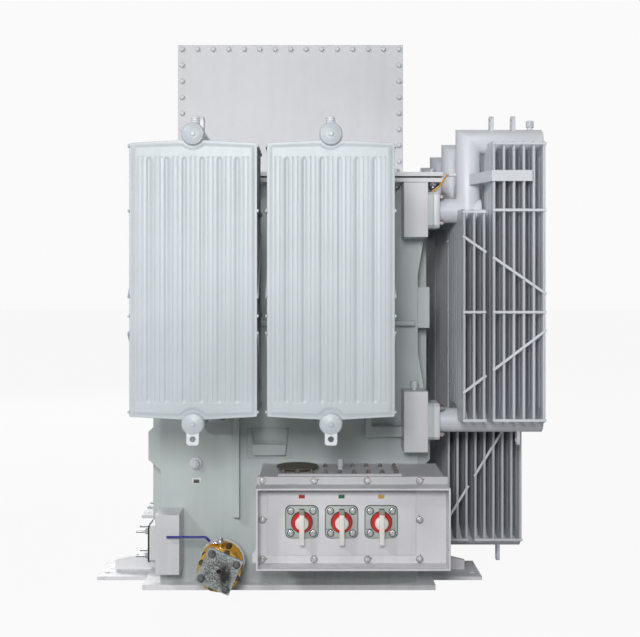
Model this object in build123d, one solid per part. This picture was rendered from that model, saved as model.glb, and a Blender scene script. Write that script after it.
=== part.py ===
from build123d import *
import math
import os

# An oil-filled power transformer with panel radiators, in millimetres.
# X runs to the right, Y runs back from the tap drives, Z is up.
# The origin is the middle of the tank's base plate, on the ground.

# Tank, welded from plates
tank_width = 1240
tank_depth = 2000
wall_thickness = 10
base_thickness = 25
base_side_margin = 80
base_end_margin = 50
cover_top = 1990
cover_thickness = 20
cover_gasket_thickness = 8
rim_thickness = 20
rim_overhang = 110
gasket_inset = 12

# Outrigger feet
foot_reach = 250
foot_depth = 316
foot_plate_thickness = 17
foot_front_setback = 128
foot_spacing = 1443
foot_web_thickness = 25
foot_web_reach = 184
foot_web_root_height = 126
foot_web_tip_height = 62
foot_hole_radius = 14
foot_hole_inset = 38

# Stiffeners on the walls
bar_width = 29
bar_depth = 60
front_bar_left_x = -251
front_bar_left_bottom = 348
front_bar_right_x = 380
front_bar_right_bottom = 728
front_bar_top = 1750
belt_height = 24
belt_centre_z = 1275
belt_half_length = 600
box_rib_height = 48
box_rib_centre_z = 757
side_bar_bottom = 150
side_bar_top = 1900
rear_bar_pitch = 420
wall_box_width = 59
wall_box_depth = 140
wall_box_height = 197
wall_box_bottom = 1249
wall_box_setback = 20
lug_reach = 62
lug_thickness = 25
lug_setback = 30
lug_root_bottom = 555
lug_root_top = 801
lug_tip_rise = 55

# Cable box on the cover
box_height = 705
box_half_width = 581
box_half_depth = 620
box_plate_thickness = 12
box_wall = 8
box_flange_width = 52
box_flange_thickness = 12

# Radiator panels
panel_width = 520
panel_pitch = 45
panel_thickness = 12
panel_rim_width = 9
panel_rim_thickness = 4
panel_end_rise = 14
panel_corner_cut = 8
flute_count = 7
valley_width = 21
valley_depth = 3.5
valley_end_margin = 56
valley_end_cut = 8
groove_spacing = 19.5
groove_width = 5
groove_depth = 2
seat_clearance = 0.3
round_sides = 12
pipe_sides = 24
disc_sides = 36

# Front radiators
front_radiator_x = (-374, 186)
front_face_y = -1834
front_panel_count = 8
front_panel_bottom = 928
front_panel_top = 2034
front_upper_header_rise = 35
front_lower_header_drop = 36
front_pipe_radius = 44
front_riser_y = -1400
front_cap_reach = 14

# Side radiators
side_radiator_first_y = -1085
side_radiator_pitch = 560
side_radiator_count = 4
side_panel_first_x = 797
short_panel_count = 3
tall_panel_count = 6
tall_panel_top = 2106
first_panel_bottom = 834
other_panel_bottom = 168
stub_z = 1807
short_panel_drop = 9
side_upper_header_rise = 28
side_lower_header_drop = 16
side_pipe_radius = 57
side_riser_x = 848
stub_end_x = 907
header_end_x = 1195

# Flanges between the tank and the radiators
flange_size = 170
flange_thickness = 28
flange_neck_length = 31
flange_corner_cut = 14
neck_radius = 52

# Ties across the panel edges
tie_width = 12
tie_thickness = 6
tie_overhang = 8
end_tie_margin = 12
upper_tie_drop = 312
middle_tie_drop = 772
upper_diagonal_inner_drop = 429
upper_diagonal_outer_drop = 691
lower_diagonal_inner_rise = 135
lower_diagonal_outer_rise = 419
long_diagonal_inner_rise = 112
long_diagonal_outer_rise = 719
front_upper_tie_drop = 276
front_middle_tie_drop = 704
front_diagonal_drop = 628
front_diagonal_rise = 335
front_diagonal_fall = 262
strap_drop = 182
strap_height = 50
strap_thickness = 6
strap_end_margin = 54

# Lugs, tabs and plugs on the headers
lug_plate_thickness = 16
lug_plate_width = 60
lug_plate_height = 120
lug_eye_radius = 14
lug_eye_margin = 30
lug_first_offset = 111
lug_second_offset = 213
front_lug_setback = 40
front_lug_rise = 85
tab_width = 46
tab_thickness = 10
tab_height = 62
tab_eye_radius = 12
long_tab_height = 80
side_tab_inset = 110
side_tab_thickness = 16
plug_base_radius = 18
plug_base_height = 14
plug_head_radius = 12
plug_head_height = 20
hexagon_sides = 6
vent_offset_share = 0.25
side_vent_inset = 52
wall_plug_x = -448
wall_plug_z = 598
wall_plug_scale_share = 1.5

# Oil boxes on the front corners
oil_box_width = 112
oil_box_depth = 175
oil_box_overhang = 31
left_box_overhang = 0
upper_box_height = 255
lower_box_height = 284
left_box_bottom = 105
left_box_height = 279
gusset_height = 180
gusset_width = 29
gusset_thickness = 16
blank_gasket_thickness = 8

# Document pocket on the front wall
pocket_left_x = -202
pocket_width = 216
pocket_bottom = 622
pocket_height = 145
pocket_depth = 42
pocket_wall = 6
pocket_front_height = 96

# Tap changer compartment
tap_left_x = -134
tap_right_x = 713
tap_bottom = 205
tap_top = 604
tap_projection = 400
tap_plate_thickness = 14
tap_box_inset = 8
hood_projection = 106
hood_wall = 8
hood_top_drop = 33
hood_bottom_rise = 8
bracket_reach = 24
bracket_height = 84
bracket_tip_height = 40
bracket_thickness = 12
bracket_setback = 20
gland_left_x = -42
gland_right_x = 513
gland_depth = 218
gland_thickness = 14
gland_rear_gap = 155
cap_x = 44
cap_setback = 118
cap_radius = 97
cap_height = 20
cap_collar_radius = 70
cap_collar_height = 8
gland_plug_x = 240
gland_plug_setback = 131
gland_plug_scale_share = 1.2

# Tap drives
drive_first_x = 65
drive_pitch = 176
drive_count = 3
drive_z = 405
drive_plate_size = 142
drive_plate_thickness = 10
drive_corner_radius = 24
dial_radius = 45.5
dial_thickness = 12
shaft_size = 16
shaft_length = 6
knob_radius = 29.5
knob_thickness = 22
pointer_width = 22
pointer_corner_cut = 3
pointer_thickness = 16
pointer_above = 62
pointer_below = 98
pointer_tip_share = 0.62
name_plate_width = 36
name_plate_height = 22
name_plate_thickness = 2
name_plate_rise = 112

# Drain valve
drain_x = -313
drain_z = 156
drain_neck_radius = 44.5
drain_neck_length = 110
drain_flange_radius = 100
drain_flange_thickness = 20
drain_body_radius = 68
drain_body_length = 120
drain_blank_size = 168
drain_blank_thickness = 18
drain_blank_angle = -24
drain_blank_hole_radius = 11
stem_radius = 12
stem_height = 22
bonnet_radius = 24
bonnet_height = 18
lever_hub_radius = 20
lever_hub_height = 12
lever_clearance = 0.3
lever_strip_width = 24
lever_strip_thickness = 8
lever_radius = 7
lever_rise = 20
lever_bend_start = 42
lever_bend_run = 24
lever_length = 250
nut_radius = 13
nut_height = 12

# Bonding lead between the cover and the first side riser
lead_radius = 5
lead_boss_radius = 9
lead_boss_length = 12
lead_cover_x = 690
lead_cover_y = -1065
lead_rise = 40

# Overrun of every cut
overrun = 5

# Worked-out places
half_width = tank_width / 2
half_depth = tank_depth / 2
front_y = -half_depth
base_half_width = half_width + base_side_margin
base_half_depth = half_depth + base_end_margin
cover_bottom = cover_top - cover_thickness
rim_top = cover_bottom - cover_gasket_thickness
rim_bottom = rim_top - rim_thickness
rim_half_width = half_width + rim_overhang
rim_half_depth = half_depth + rim_overhang
flange_gap = flange_neck_length + flange_thickness
flange_reach = flange_gap + flange_thickness
panel_half = panel_width / 2
side_radiator_ys = [side_radiator_first_y + i * side_radiator_pitch for i in range(side_radiator_count)]
side_panel_bottoms = [first_panel_bottom] + [other_panel_bottom] * (side_radiator_count - 1)
side_lower_header_zs = [bottom - side_lower_header_drop for bottom in side_panel_bottoms]
side_panel_count = short_panel_count + tall_panel_count
side_panel_xs = [side_panel_first_x + i * panel_pitch for i in range(side_panel_count)]
short_panel_top = stub_z - short_panel_drop
side_upper_header_z = tall_panel_top + side_upper_header_rise
front_upper_header_z = front_panel_top + front_upper_header_rise
front_lower_header_z = front_panel_bottom - front_lower_header_drop
first_lower_header_z = first_panel_bottom - side_lower_header_drop
drive_xs = [drive_first_x + i * drive_pitch for i in range(drive_count)]
tap_front_y = front_y - tap_projection
drive_face_y = tap_front_y - tap_plate_thickness
gland_bottom = tap_top - tap_box_inset
gland_top = gland_bottom + gland_thickness
gland_front_y = front_y - gland_rear_gap - gland_depth


def block(low, high):
    """A box between two opposite corners."""
    sizes = [b - a for a, b in zip(low, high)]
    return Pos(*low) * Box(*sizes, align=Align.MIN)


def disc_rod(start, end, radius):
    """A round bar or disc in flat sides that stay inside the round."""
    run = Vector(*end) - Vector(*start)
    return extrude(Plane(origin=start, z_dir=run) * RegularPolygon(radius, disc_sides), amount=run.length)


def pipe_section(start, end, radius):
    """A pipe's end, square to its run, in flat sides that stay inside the round."""
    return Plane(origin=start, z_dir=Vector(*end) - Vector(*start)) * RegularPolygon(radius, pipe_sides)


def straight_pipe(start, end, radius):
    """A pipe along one straight run."""
    return extrude(pipe_section(start, end, radius), amount=(Vector(*end) - Vector(*start)).length)


def mitred_pipe(points, radius):
    """A pipe along straight runs, cut and welded at each corner."""
    section = pipe_section(points[0], points[1], radius)
    return sweep(section, path=Polyline(*points), transition=Transition.RIGHT)


def faceted_rod(start, end, radius):
    """A bar of few flat sides that just clears a round one of the same radius."""
    run = Vector(*end) - Vector(*start)
    section = RegularPolygon(radius, round_sides, major_radius=False)
    return extrude(Plane(origin=start, z_dir=run) * section, amount=run.length)


def upright_plate(points, thickness, middle_y):
    """A flat plate standing across Y, with its outline given in X and Z."""
    outline = make_face(Polyline(*points, close=True))
    return extrude(Plane.XZ.offset(-middle_y) * outline, amount=thickness / 2, both=True)


def frame_plate(half_x, half_y, inner_half_x, inner_half_y, bottom, top):
    """A flat rectangular frame lying level."""
    outside = block((-half_x, -half_y, bottom), (half_x, half_y, top))
    hole = block(
        (-inner_half_x, -inner_half_y, bottom - overrun),
        (inner_half_x, inner_half_y, top + overrun),
    )
    return outside - hole


def save(name, solids):
    """Write one node's solids to its own file."""
    export_step(Compound(children=list(solids)), os.path.join("parts", name + ".step"))


# Tank shell
def base_plate():
    low = (-base_half_width, -base_half_depth, 0)
    return [block(low, (base_half_width, base_half_depth, base_thickness))]


def foot(side, front_edge):
    """One outrigger: a floor plate with an anchor hole and an upright web to the tank wall."""
    inner = base_half_width
    outer = base_half_width + foot_reach
    plate = block(
        (inner, front_edge, 0),
        (outer, front_edge + foot_depth, foot_plate_thickness),
    )
    middle_y = front_edge + foot_depth / 2
    web_tip_x = base_half_width + foot_web_reach
    web = upright_plate(
        [
            (inner, 0),
            (web_tip_x, 0),
            (web_tip_x, foot_web_tip_height),
            (half_width, foot_web_root_height),
            (half_width, base_thickness),
            (inner, base_thickness),
        ],
        foot_web_thickness,
        middle_y,
    )
    hole_y = front_edge + foot_depth / 4
    hole = Pos(outer - foot_hole_inset, hole_y, foot_plate_thickness / 2) * Cylinder(
        foot_hole_radius, foot_plate_thickness + overrun
    )
    shape = plate + web - hole
    return shape if side > 0 else mirror(shape, Plane.YZ)


def feet():
    front_edge = -base_half_depth + foot_front_setback + base_end_margin
    return [foot(side, front_edge + row * foot_spacing) for side in (-1, 1) for row in (0, 1)]


def end_wall(side):
    outer = side * half_depth
    inner = side * (half_depth - wall_thickness)
    low = (-half_width, min(outer, inner), base_thickness)
    return [block(low, (half_width, max(outer, inner), rim_top))]


def side_wall(side):
    outer = side * half_width
    inner = side * (half_width - wall_thickness)
    reach = half_depth - wall_thickness
    low = (min(outer, inner), -reach, base_thickness)
    return [block(low, (max(outer, inner), reach, rim_top))]


def tank_rim():
    return [frame_plate(rim_half_width, rim_half_depth, half_width, half_depth, rim_bottom, rim_top)]


def cover_gasket():
    outer_x = rim_half_width - gasket_inset
    outer_y = rim_half_depth - gasket_inset
    return [frame_plate(outer_x, outer_y, half_width, half_depth, rim_top, cover_bottom)]


def tank_cover():
    low = (-rim_half_width, -rim_half_depth, cover_bottom)
    return [block(low, (rim_half_width, rim_half_depth, cover_top))]


# Stiffeners
def front_wall_bars():
    """Two upright bars on the front wall."""
    return [
        block(
            (x - bar_width / 2, front_y - bar_depth, bottom),
            (x + bar_width / 2, front_y, front_bar_top),
        )
        for x, bottom in (
            (front_bar_left_x, front_bar_left_bottom),
            (front_bar_right_x, front_bar_right_bottom),
        )
    ]


def front_wall_belt():
    """Level ribs welded between the upright bars, and a short one to the lower right oil box."""
    half_bar = bar_width / 2
    belt_runs = (
        (-belt_half_length, front_bar_left_x - half_bar),
        (front_bar_left_x + half_bar, front_bar_right_x - half_bar),
        (front_bar_right_x + half_bar, belt_half_length),
    )
    ribs = [
        block(
            (low_x, front_y - bar_depth, belt_centre_z - belt_height / 2),
            (high_x, front_y, belt_centre_z + belt_height / 2),
        )
        for low_x, high_x in belt_runs
    ]
    rib_start = front_bar_right_x + half_bar
    box_face = half_width + oil_box_overhang - oil_box_width
    ribs.append(
        block(
            (rib_start, front_y - bar_depth, box_rib_centre_z - box_rib_height / 2),
            (box_face, front_y, box_rib_centre_z + box_rib_height / 2),
        )
    )
    return ribs


def wall_stiffeners():
    """Upright flat bars on the side and rear walls."""
    bars = []
    bar_ys = [(a + b) / 2 for a, b in zip(side_radiator_ys, side_radiator_ys[1:])]
    for side in (-1, 1):
        for y in bar_ys:
            near = side * half_width
            far = side * (half_width + bar_depth)
            bars.append(
                block(
                    (min(near, far), y - bar_width / 2, side_bar_bottom),
                    (max(near, far), y + bar_width / 2, side_bar_top),
                )
            )
    for column in (-1, 0, 1):
        x = column * rear_bar_pitch
        bars.append(
            block(
                (x - bar_width / 2, half_depth, side_bar_bottom),
                (x + bar_width / 2, half_depth + bar_depth, side_bar_top),
            )
        )
    return bars


def wall_boxes():
    """A closed box on each side wall, just behind the front corner."""
    box_front = front_y + wall_box_setback
    shape = block(
        (half_width, box_front, wall_box_bottom),
        (half_width + wall_box_width, box_front + wall_box_depth, wall_box_bottom + wall_box_height),
    )
    return [shape, mirror(shape, Plane.YZ)]


def tank_lugs():
    """A tapered pulling lug on each side wall, by the front corner."""
    shape = upright_plate(
        [
            (half_width, lug_root_bottom),
            (half_width + lug_reach, lug_root_bottom + lug_tip_rise),
            (half_width + lug_reach, lug_root_top - lug_tip_rise),
            (half_width, lug_root_top),
        ],
        lug_thickness,
        front_y + lug_setback + lug_thickness / 2,
    )
    return [shape, mirror(shape, Plane.YZ)]


# Cable box
def cable_box_walls():
    """Two side walls with a flange turned outwards at the front and rear edges."""
    inner_y = box_half_depth - box_plate_thickness
    wall_x = box_half_width - box_flange_width
    roof_bottom = cover_top + box_height - box_flange_width - box_wall
    wall = block((wall_x - box_wall, -inner_y, cover_top), (wall_x, inner_y, roof_bottom))
    flanges = [
        block(
            (wall_x, end * inner_y - (end + 1) / 2 * box_flange_thickness, cover_top),
            (box_half_width, end * inner_y + (1 - end) / 2 * box_flange_thickness, roof_bottom),
        )
        for end in (-1, 1)
    ]
    shape = wall + flanges[0] + flanges[1]
    return [shape, mirror(shape, Plane.YZ)]


def cable_box_roof():
    """The roof plate with a flange turned up at the front and rear edges."""
    inner_y = box_half_depth - box_plate_thickness
    roof_bottom = cover_top + box_height - box_flange_width - box_wall
    roof_top = cover_top + box_height - box_flange_width
    box_top = cover_top + box_height
    roof = block((-box_half_width, -inner_y, roof_bottom), (box_half_width, inner_y, roof_top))
    flanges = [
        block(
            (-box_half_width, end * inner_y - (end + 1) / 2 * box_flange_thickness, roof_top),
            (box_half_width, end * inner_y + (1 - end) / 2 * box_flange_thickness, box_top),
        )
        for end in (-1, 1)
    ]
    return [roof + flanges[0] + flanges[1]]


def cable_box_plate(end):
    outer = end * box_half_depth
    inner = end * (box_half_depth - box_plate_thickness)
    return [
        block(
            (-box_half_width, min(outer, inner), cover_top),
            (box_half_width, max(outer, inner), cover_top + box_height),
        )
    ]


# Radiator panels
def panel_outline(bottom, top, inset):
    """The panel's outline, with ends that rise a little to the middle."""
    half = panel_half - inset
    points = [
        (-half, bottom + inset),
        (0, bottom - panel_end_rise + inset),
        (half, bottom + inset),
        (half, top - inset),
        (0, top + panel_end_rise - inset),
        (-half, top - inset),
    ]
    return make_face(Polyline(*points, close=True))


def cut_corners(face):
    """The outline with its four outer corners cut."""
    corners = [v for v in face.vertices() if abs(v.X) > panel_half / 2]
    return chamfer(corners, panel_corner_cut)


def panel(bottom, top, upper_header_z, lower_header_z, pipe_radius, fluted):
    """One pressed panel across Y with a saddle for the header at each end."""
    saddle_radius = pipe_radius + seat_clearance
    if fluted:
        outline = cut_corners(panel_outline(bottom, top, 0))
        rim = extrude(Plane.XZ * outline, amount=panel_rim_thickness / 2, both=True)
        pressed = cut_corners(panel_outline(bottom, top, panel_rim_width))
        shape = rim + extrude(Plane.XZ * pressed, amount=panel_thickness / 2, both=True)
    else:
        outline = panel_outline(bottom, top, 0)
        shape = extrude(Plane.XZ * outline, amount=panel_thickness / 2, both=True)
    for z in (upper_header_z, lower_header_z):
        shape -= faceted_rod((0, -panel_thickness, z), (0, panel_thickness, z), saddle_radius)
    return shape - flutes(bottom, top) if fluted else shape


def flutes(bottom, top):
    """The pressed valleys between the flutes and the pair of narrow grooves along each flute."""
    flute_pitch = (panel_width - panel_rim_width - panel_rim_width) / flute_count
    length = top - bottom - valley_end_margin - valley_end_margin
    middle_z = (top + bottom) / 2
    face_y = -panel_thickness / 2
    cuts = []
    for i in range(1, flute_count):
        x = (i - flute_count / 2) * flute_pitch
        valley = Rectangle(valley_width, length)
        slot = Pos(x, middle_z) * chamfer(valley.vertices(), valley_end_cut)
        floor = Plane.XZ.offset(-face_y - valley_depth)
        cuts.append(extrude(floor * slot, amount=valley_depth + overrun))
    for i in range(flute_count):
        for side in (-1, 1):
            x = (i + 1 / 2 - flute_count / 2) * flute_pitch + side * groove_spacing / 2
            slot = Pos(x, middle_z) * Rectangle(groove_width, length)
            floor = Plane.XZ.offset(-face_y - groove_depth)
            cuts.append(extrude(floor * slot, amount=groove_depth + overrun))
    return cuts


def front_radiator_panels(x):
    """A stack of panels one behind the other, with the fluted one in front."""
    sizes = (
        front_panel_bottom,
        front_panel_top,
        front_upper_header_z,
        front_lower_header_z,
        front_pipe_radius,
    )
    first_y = front_face_y + panel_thickness / 2
    shown = panel(*sizes, fluted=True)
    inner = panel(*sizes, fluted=False)
    return [
        Pos(x, first_y + i * panel_pitch, 0) * (inner if i else shown) for i in range(front_panel_count)
    ]


def side_radiator_panels(index):
    """Short panels under the stub by the tank, then tall ones, with the fluted one outermost."""
    bottom = side_panel_bottoms[index]
    lower_z = side_lower_header_zs[index]
    tall = (bottom, tall_panel_top, side_upper_header_z, lower_z, side_pipe_radius)
    short_inner = panel(bottom, short_panel_top, stub_z, lower_z, side_pipe_radius, fluted=False)
    tall_inner = panel(*tall, fluted=False)
    tall_shown = panel(*tall, fluted=True)
    shapes = [short_inner] * short_panel_count + [tall_inner] * (tall_panel_count - 1) + [tall_shown]
    y = side_radiator_ys[index]
    return [Pos(x, y, 0) * Rot(0, 0, 90) * shape for x, shape in zip(side_panel_xs, shapes)]


# Radiator pipework
def front_upper_pipe(x):
    """A header along the panel tops, turned down behind them to a stub on the front wall."""
    start_y = front_face_y - front_cap_reach
    end = (x, front_y - flange_reach, stub_z)
    run = mitred_pipe(
        [
            (x, start_y, front_upper_header_z),
            (x, front_riser_y, front_upper_header_z),
            (x, front_riser_y, stub_z),
            end,
        ],
        front_pipe_radius,
    )
    return welded_flange(run, end, (0, -1, 0))


def front_lower_pipe(x):
    """A straight header under the panels to the front wall."""
    end = (x, front_y - flange_reach, front_lower_header_z)
    run = straight_pipe((x, front_face_y - front_cap_reach, front_lower_header_z), end, front_pipe_radius)
    return welded_flange(run, end, (0, -1, 0))


def side_upper_pipe(y):
    """A stub over the short panels, a riser saddled on it and a header mitred along the tall ones."""
    start = (half_width + flange_reach, y, stub_z)
    stub = straight_pipe(start, (stub_end_x, y, stub_z), side_pipe_radius)
    riser = mitred_pipe(
        [
            (side_riser_x, y, stub_z),
            (side_riser_x, y, side_upper_header_z),
            (header_end_x, y, side_upper_header_z),
        ],
        side_pipe_radius,
    )
    return welded_flange(stub + riser, start, (1, 0, 0))


def side_lower_pipe(index):
    """A straight header under the panels of one side radiator."""
    y = side_radiator_ys[index]
    z = side_lower_header_zs[index]
    start = (half_width + flange_reach, y, z)
    run = straight_pipe(start, (header_end_x, y, z), side_pipe_radius)
    return welded_flange(run, start, (1, 0, 0))


def welded_flange(pipe, point, outward):
    """A pipe with its square flange welded on at one end."""
    seat = Plane(origin=point, z_dir=outward, x_dir=(0, 0, 1))
    return pipe + seat * Pos(0, 0, -flange_thickness) * flange_plate(flange_thickness)


def flange_plate(thickness):
    """A square flange with cut corners, standing on the XY plane."""
    square = Rectangle(flange_size, flange_size)
    return extrude(chamfer(square.vertices(), flange_corner_cut), amount=thickness)


def front_radiator_pipes():
    return [pipe(x) for x in front_radiator_x for pipe in (front_upper_pipe, front_lower_pipe)]


def side_radiator_pipes():
    upper = [side_upper_pipe(y) for y in side_radiator_ys]
    return upper + [side_lower_pipe(i) for i in range(side_radiator_count)]


def connections():
    """Where each pipe meets the tank: the wall point, the outward direction and the wall's gap."""
    places = []
    for x in front_radiator_x:
        for z in (stub_z, front_lower_header_z):
            places.append(((x, front_y, z), (0, -1, 0), flange_neck_length))
    for y, lower_z in zip(side_radiator_ys, side_lower_header_zs):
        on_box = y == side_radiator_first_y
        for z in (stub_z, lower_z):
            wall_x = half_width + oil_box_overhang if on_box else half_width
            places.append(((wall_x, y, z), (1, 0, 0), 0 if on_box else flange_neck_length))
    return places


def tank_flanges():
    """A square flange on a short neck at each connection, or straight on an oil box."""
    shapes = []
    for point, outward, neck_length in connections():
        seat = Plane(origin=point, z_dir=outward, x_dir=(0, 0, 1))
        plate = seat * Pos(0, 0, neck_length) * flange_plate(flange_thickness)
        if neck_length:
            plate += seat * extrude(RegularPolygon(neck_radius, round_sides), amount=neck_length)
        shapes.append(plate)
    return shapes


# Ties
def tie(start, end, face_y, side):
    """A flat bar lying on panel edges, given by its ends in X and Z."""
    run = Vector(end[0] - start[0], end[1] - start[1])
    turn = math.degrees(math.atan2(run.Y, run.X))
    middle = ((start[0] + end[0]) / 2, (start[1] + end[1]) / 2)
    bar = Box(run.length, tie_thickness, tie_width)
    return Pos(middle[0], face_y + side * tie_thickness / 2, middle[1]) * Rot(0, -turn, 0) * bar


def along(inner_z, outer_z, x, low_x, high_x):
    """Height of a diagonal at one place along it."""
    return inner_z + (outer_z - inner_z) * (x - low_x) / (high_x - low_x)


def side_tie_bars():
    """Level bars and diagonals across the front and rear edges of each side radiator."""
    inner_x = side_panel_xs[0] - tie_overhang
    short_x = side_panel_xs[short_panel_count - 1] + tie_overhang
    tall_x = side_panel_xs[short_panel_count] - tie_overhang
    outer_x = side_panel_xs[-1] + tie_overhang
    upper = (tall_panel_top - upper_diagonal_inner_drop, tall_panel_top - upper_diagonal_outer_drop)
    middle_z = tall_panel_top - middle_tie_drop
    bars = []
    for index, (y, bottom) in enumerate(zip(side_radiator_ys, side_panel_bottoms)):
        if index == 0:
            lower = (bottom + lower_diagonal_inner_rise, bottom + lower_diagonal_outer_rise)
        else:
            lower = (bottom + long_diagonal_inner_rise, bottom + long_diagonal_outer_rise)
        groups = (
            (inner_x, short_x, [short_panel_top - end_tie_margin]),
            (tall_x, outer_x, [tall_panel_top - end_tie_margin, tall_panel_top - upper_tie_drop]),
        )
        for side in (-1, 1):
            face_y = y + side * panel_half
            for low_x, high_x, upper_zs in groups:
                for z in upper_zs + [middle_z, bottom + end_tie_margin]:
                    bars.append(tie((low_x, z), (high_x, z), face_y, side))
                for ends in (upper, lower):
                    start = (low_x, along(*ends, low_x, inner_x, outer_x))
                    end = (high_x, along(*ends, high_x, inner_x, outer_x))
                    bars.append(tie(start, end, face_y, side))
    return bars


def front_tie_bars():
    """Level bars and diagonals across the left and right edges of each front radiator."""
    first_y = front_face_y - tie_overhang + panel_thickness / 2
    last_y = front_face_y + (front_panel_count - 1) * panel_pitch + panel_thickness / 2 + tie_overhang
    upper_z = front_panel_top - front_upper_tie_drop
    middle_z = front_panel_top - front_middle_tie_drop
    diagonal_z = front_panel_top - front_diagonal_drop
    lower_z = front_panel_bottom + front_diagonal_rise
    top_z = front_panel_top - end_tie_margin
    bottom_z = front_panel_bottom + end_tie_margin
    runs = (
        ((first_y, top_z), (last_y, top_z)),
        ((first_y, bottom_z), (last_y, bottom_z)),
        ((first_y, upper_z), (last_y, upper_z)),
        ((first_y, middle_z), (last_y, middle_z)),
        ((first_y, diagonal_z), (last_y, diagonal_z + front_diagonal_fall)),
        ((first_y, lower_z), (last_y, lower_z - front_diagonal_fall)),
    )
    bars = []
    for x in front_radiator_x:
        for side in (-1, 1):
            for start, end in runs:
                bars.append(Rot(0, 0, 90) * tie(start, end, -x - side * panel_half, -side))
    return bars


def riser_straps():
    """A flat strap from each side riser, bent across the tall panels' front edges."""
    tall_x = side_panel_xs[short_panel_count] - panel_thickness / 2
    end_x = side_panel_xs[-1] - strap_end_margin
    shapes = []
    for y in side_radiator_ys:
        face_y = y - panel_half
        riser_y = y - side_pipe_radius - seat_clearance
        bend_x = tall_x - strap_thickness
        outline = make_face(
            Polyline(
                (end_x, face_y),
                (end_x, face_y - strap_thickness),
                (bend_x, face_y - strap_thickness),
                (side_riser_x, riser_y - strap_thickness),
                (side_riser_x, riser_y),
                (bend_x, face_y),
                close=True,
            )
        )
        shapes.append(Pos(0, 0, tall_panel_top - strap_drop) * extrude(outline, amount=strap_height))
    return shapes


# Lugs, tabs and plugs
def lifting_lug(pipe_radius, rise):
    """An eye plate across X, saddled on a header that lies along X through the origin."""
    half = lug_plate_width / 2
    root_z = math.sqrt(pipe_radius**2 - min(half, pipe_radius) ** 2)
    plate = block((-lug_plate_thickness / 2, -half, root_z), (lug_plate_thickness / 2, half, rise))
    near = -lug_plate_thickness
    far = lug_plate_thickness
    saddle = faceted_rod((near, 0, 0), (far, 0, 0), pipe_radius + seat_clearance)
    eye_z = rise - lug_eye_margin
    return plate - saddle - faceted_rod((near, 0, eye_z), (far, 0, eye_z), lug_eye_radius)


def front_lug(pipe_radius, rise):
    """An eye plate along Y, standing on the top line of a header that lies along Y."""
    half = lug_plate_width / 2
    near = -lug_plate_thickness / 2
    far = lug_plate_thickness / 2
    plate = block((near, -half, 0), (far, half, pipe_radius + rise))
    pipe = faceted_rod((0, -lug_plate_width, 0), (0, lug_plate_width, 0), pipe_radius + seat_clearance)
    eye_z = pipe_radius + rise - lug_eye_margin
    eye = faceted_rod((near - overrun, 0, eye_z), (far + overrun, 0, eye_z), lug_eye_radius)
    return plate - pipe - eye


def lifting_lugs():
    """Two lugs on each side header and one at the rear of each front header."""
    xs = (side_riser_x + lug_first_offset, side_riser_x + lug_second_offset)
    side_lug = lifting_lug(side_pipe_radius, lug_plate_height)
    shapes = [Pos(x, y, side_upper_header_z) * side_lug for y in side_radiator_ys for x in xs]
    lug_y = front_riser_y - front_lug_setback
    upright = front_lug(front_pipe_radius, front_lug_rise)
    return shapes + [Pos(x, lug_y, front_upper_header_z) * upright for x in front_radiator_x]


def drain_tab(header_z, pipe_radius, height, thickness):
    """An eye plate hanging across Y under a header that lies along Y over the origin."""
    bottom = header_z - pipe_radius - height
    low = (-tab_width / 2, -thickness / 2, bottom)
    body = block(low, (tab_width / 2, thickness / 2, header_z))
    near = -thickness
    far = thickness
    saddle = faceted_rod((0, near, header_z), (0, far, header_z), pipe_radius + seat_clearance)
    eye_z = bottom + tab_width / 2
    return body - saddle - faceted_rod((0, near, eye_z), (0, far, eye_z), tab_eye_radius)


def front_drain_tabs():
    tab = drain_tab(front_lower_header_z, front_pipe_radius, tab_height, tab_thickness)
    return [Pos(x, front_face_y - tab_thickness, 0) * tab for x in front_radiator_x]


def side_drain_tabs():
    """An eye plate hanging across X under each side header."""
    tabs = []
    for index, y in enumerate(side_radiator_ys):
        height = long_tab_height if index else tab_height
        tab = drain_tab(side_lower_header_zs[index], side_pipe_radius, height, side_tab_thickness)
        tabs.append(Pos(header_end_x - side_tab_inset, y, 0) * Rot(0, 0, 90) * tab)
    return tabs


def plug(scale):
    """A plug with a six-sided base and a smaller six-sided head, standing on the XY plane."""
    base = extrude(RegularPolygon(plug_base_radius * scale, hexagon_sides), amount=plug_base_height * scale)
    head_top = (plug_base_height + plug_head_height) * scale
    return base + extrude(RegularPolygon(plug_head_radius * scale, hexagon_sides), amount=head_top)


def header_plug(x, y, header_z, pipe_radius):
    """A vent plug standing on top of a header."""
    return Pos(x, y, header_z + pipe_radius) * plug(1)


def plugs():
    """Vent plugs on the headers, on the lower right oil box, the gland plate and the front wall."""
    plug_y = front_face_y + front_panel_count * panel_pitch * vent_offset_share
    plug_x = header_end_x - side_vent_inset
    shapes = [header_plug(x, plug_y, front_upper_header_z, front_pipe_radius) for x in front_radiator_x]
    shapes += [header_plug(plug_x, y, side_upper_header_z, side_pipe_radius) for y in side_radiator_ys]
    box_middle_x = half_width + oil_box_overhang - oil_box_width / 2
    box_middle_y = front_y - oil_box_depth / 2
    box_top = first_lower_header_z + lower_box_height / 2
    shapes.append(Pos(box_middle_x, box_middle_y, box_top) * plug(1))
    gland_plug_y = gland_front_y + gland_plug_setback
    shapes.append(Pos(gland_plug_x, gland_plug_y, gland_top) * plug(gland_plug_scale_share))
    wall = Plane(origin=(wall_plug_x, front_y, wall_plug_z), z_dir=(0, -1, 0))
    shapes.append(wall * plug(wall_plug_scale_share))
    return shapes


# Oil boxes
def oil_box(side, bottom, height):
    """A closed box welded over a front corner of the tank."""
    outer = half_width + (oil_box_overhang if side > 0 else left_box_overhang)
    shape = block((outer - oil_box_width, front_y - oil_box_depth, bottom), (outer, front_y, bottom + height))
    return shape if side > 0 else mirror(shape, Plane.YZ)


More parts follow.
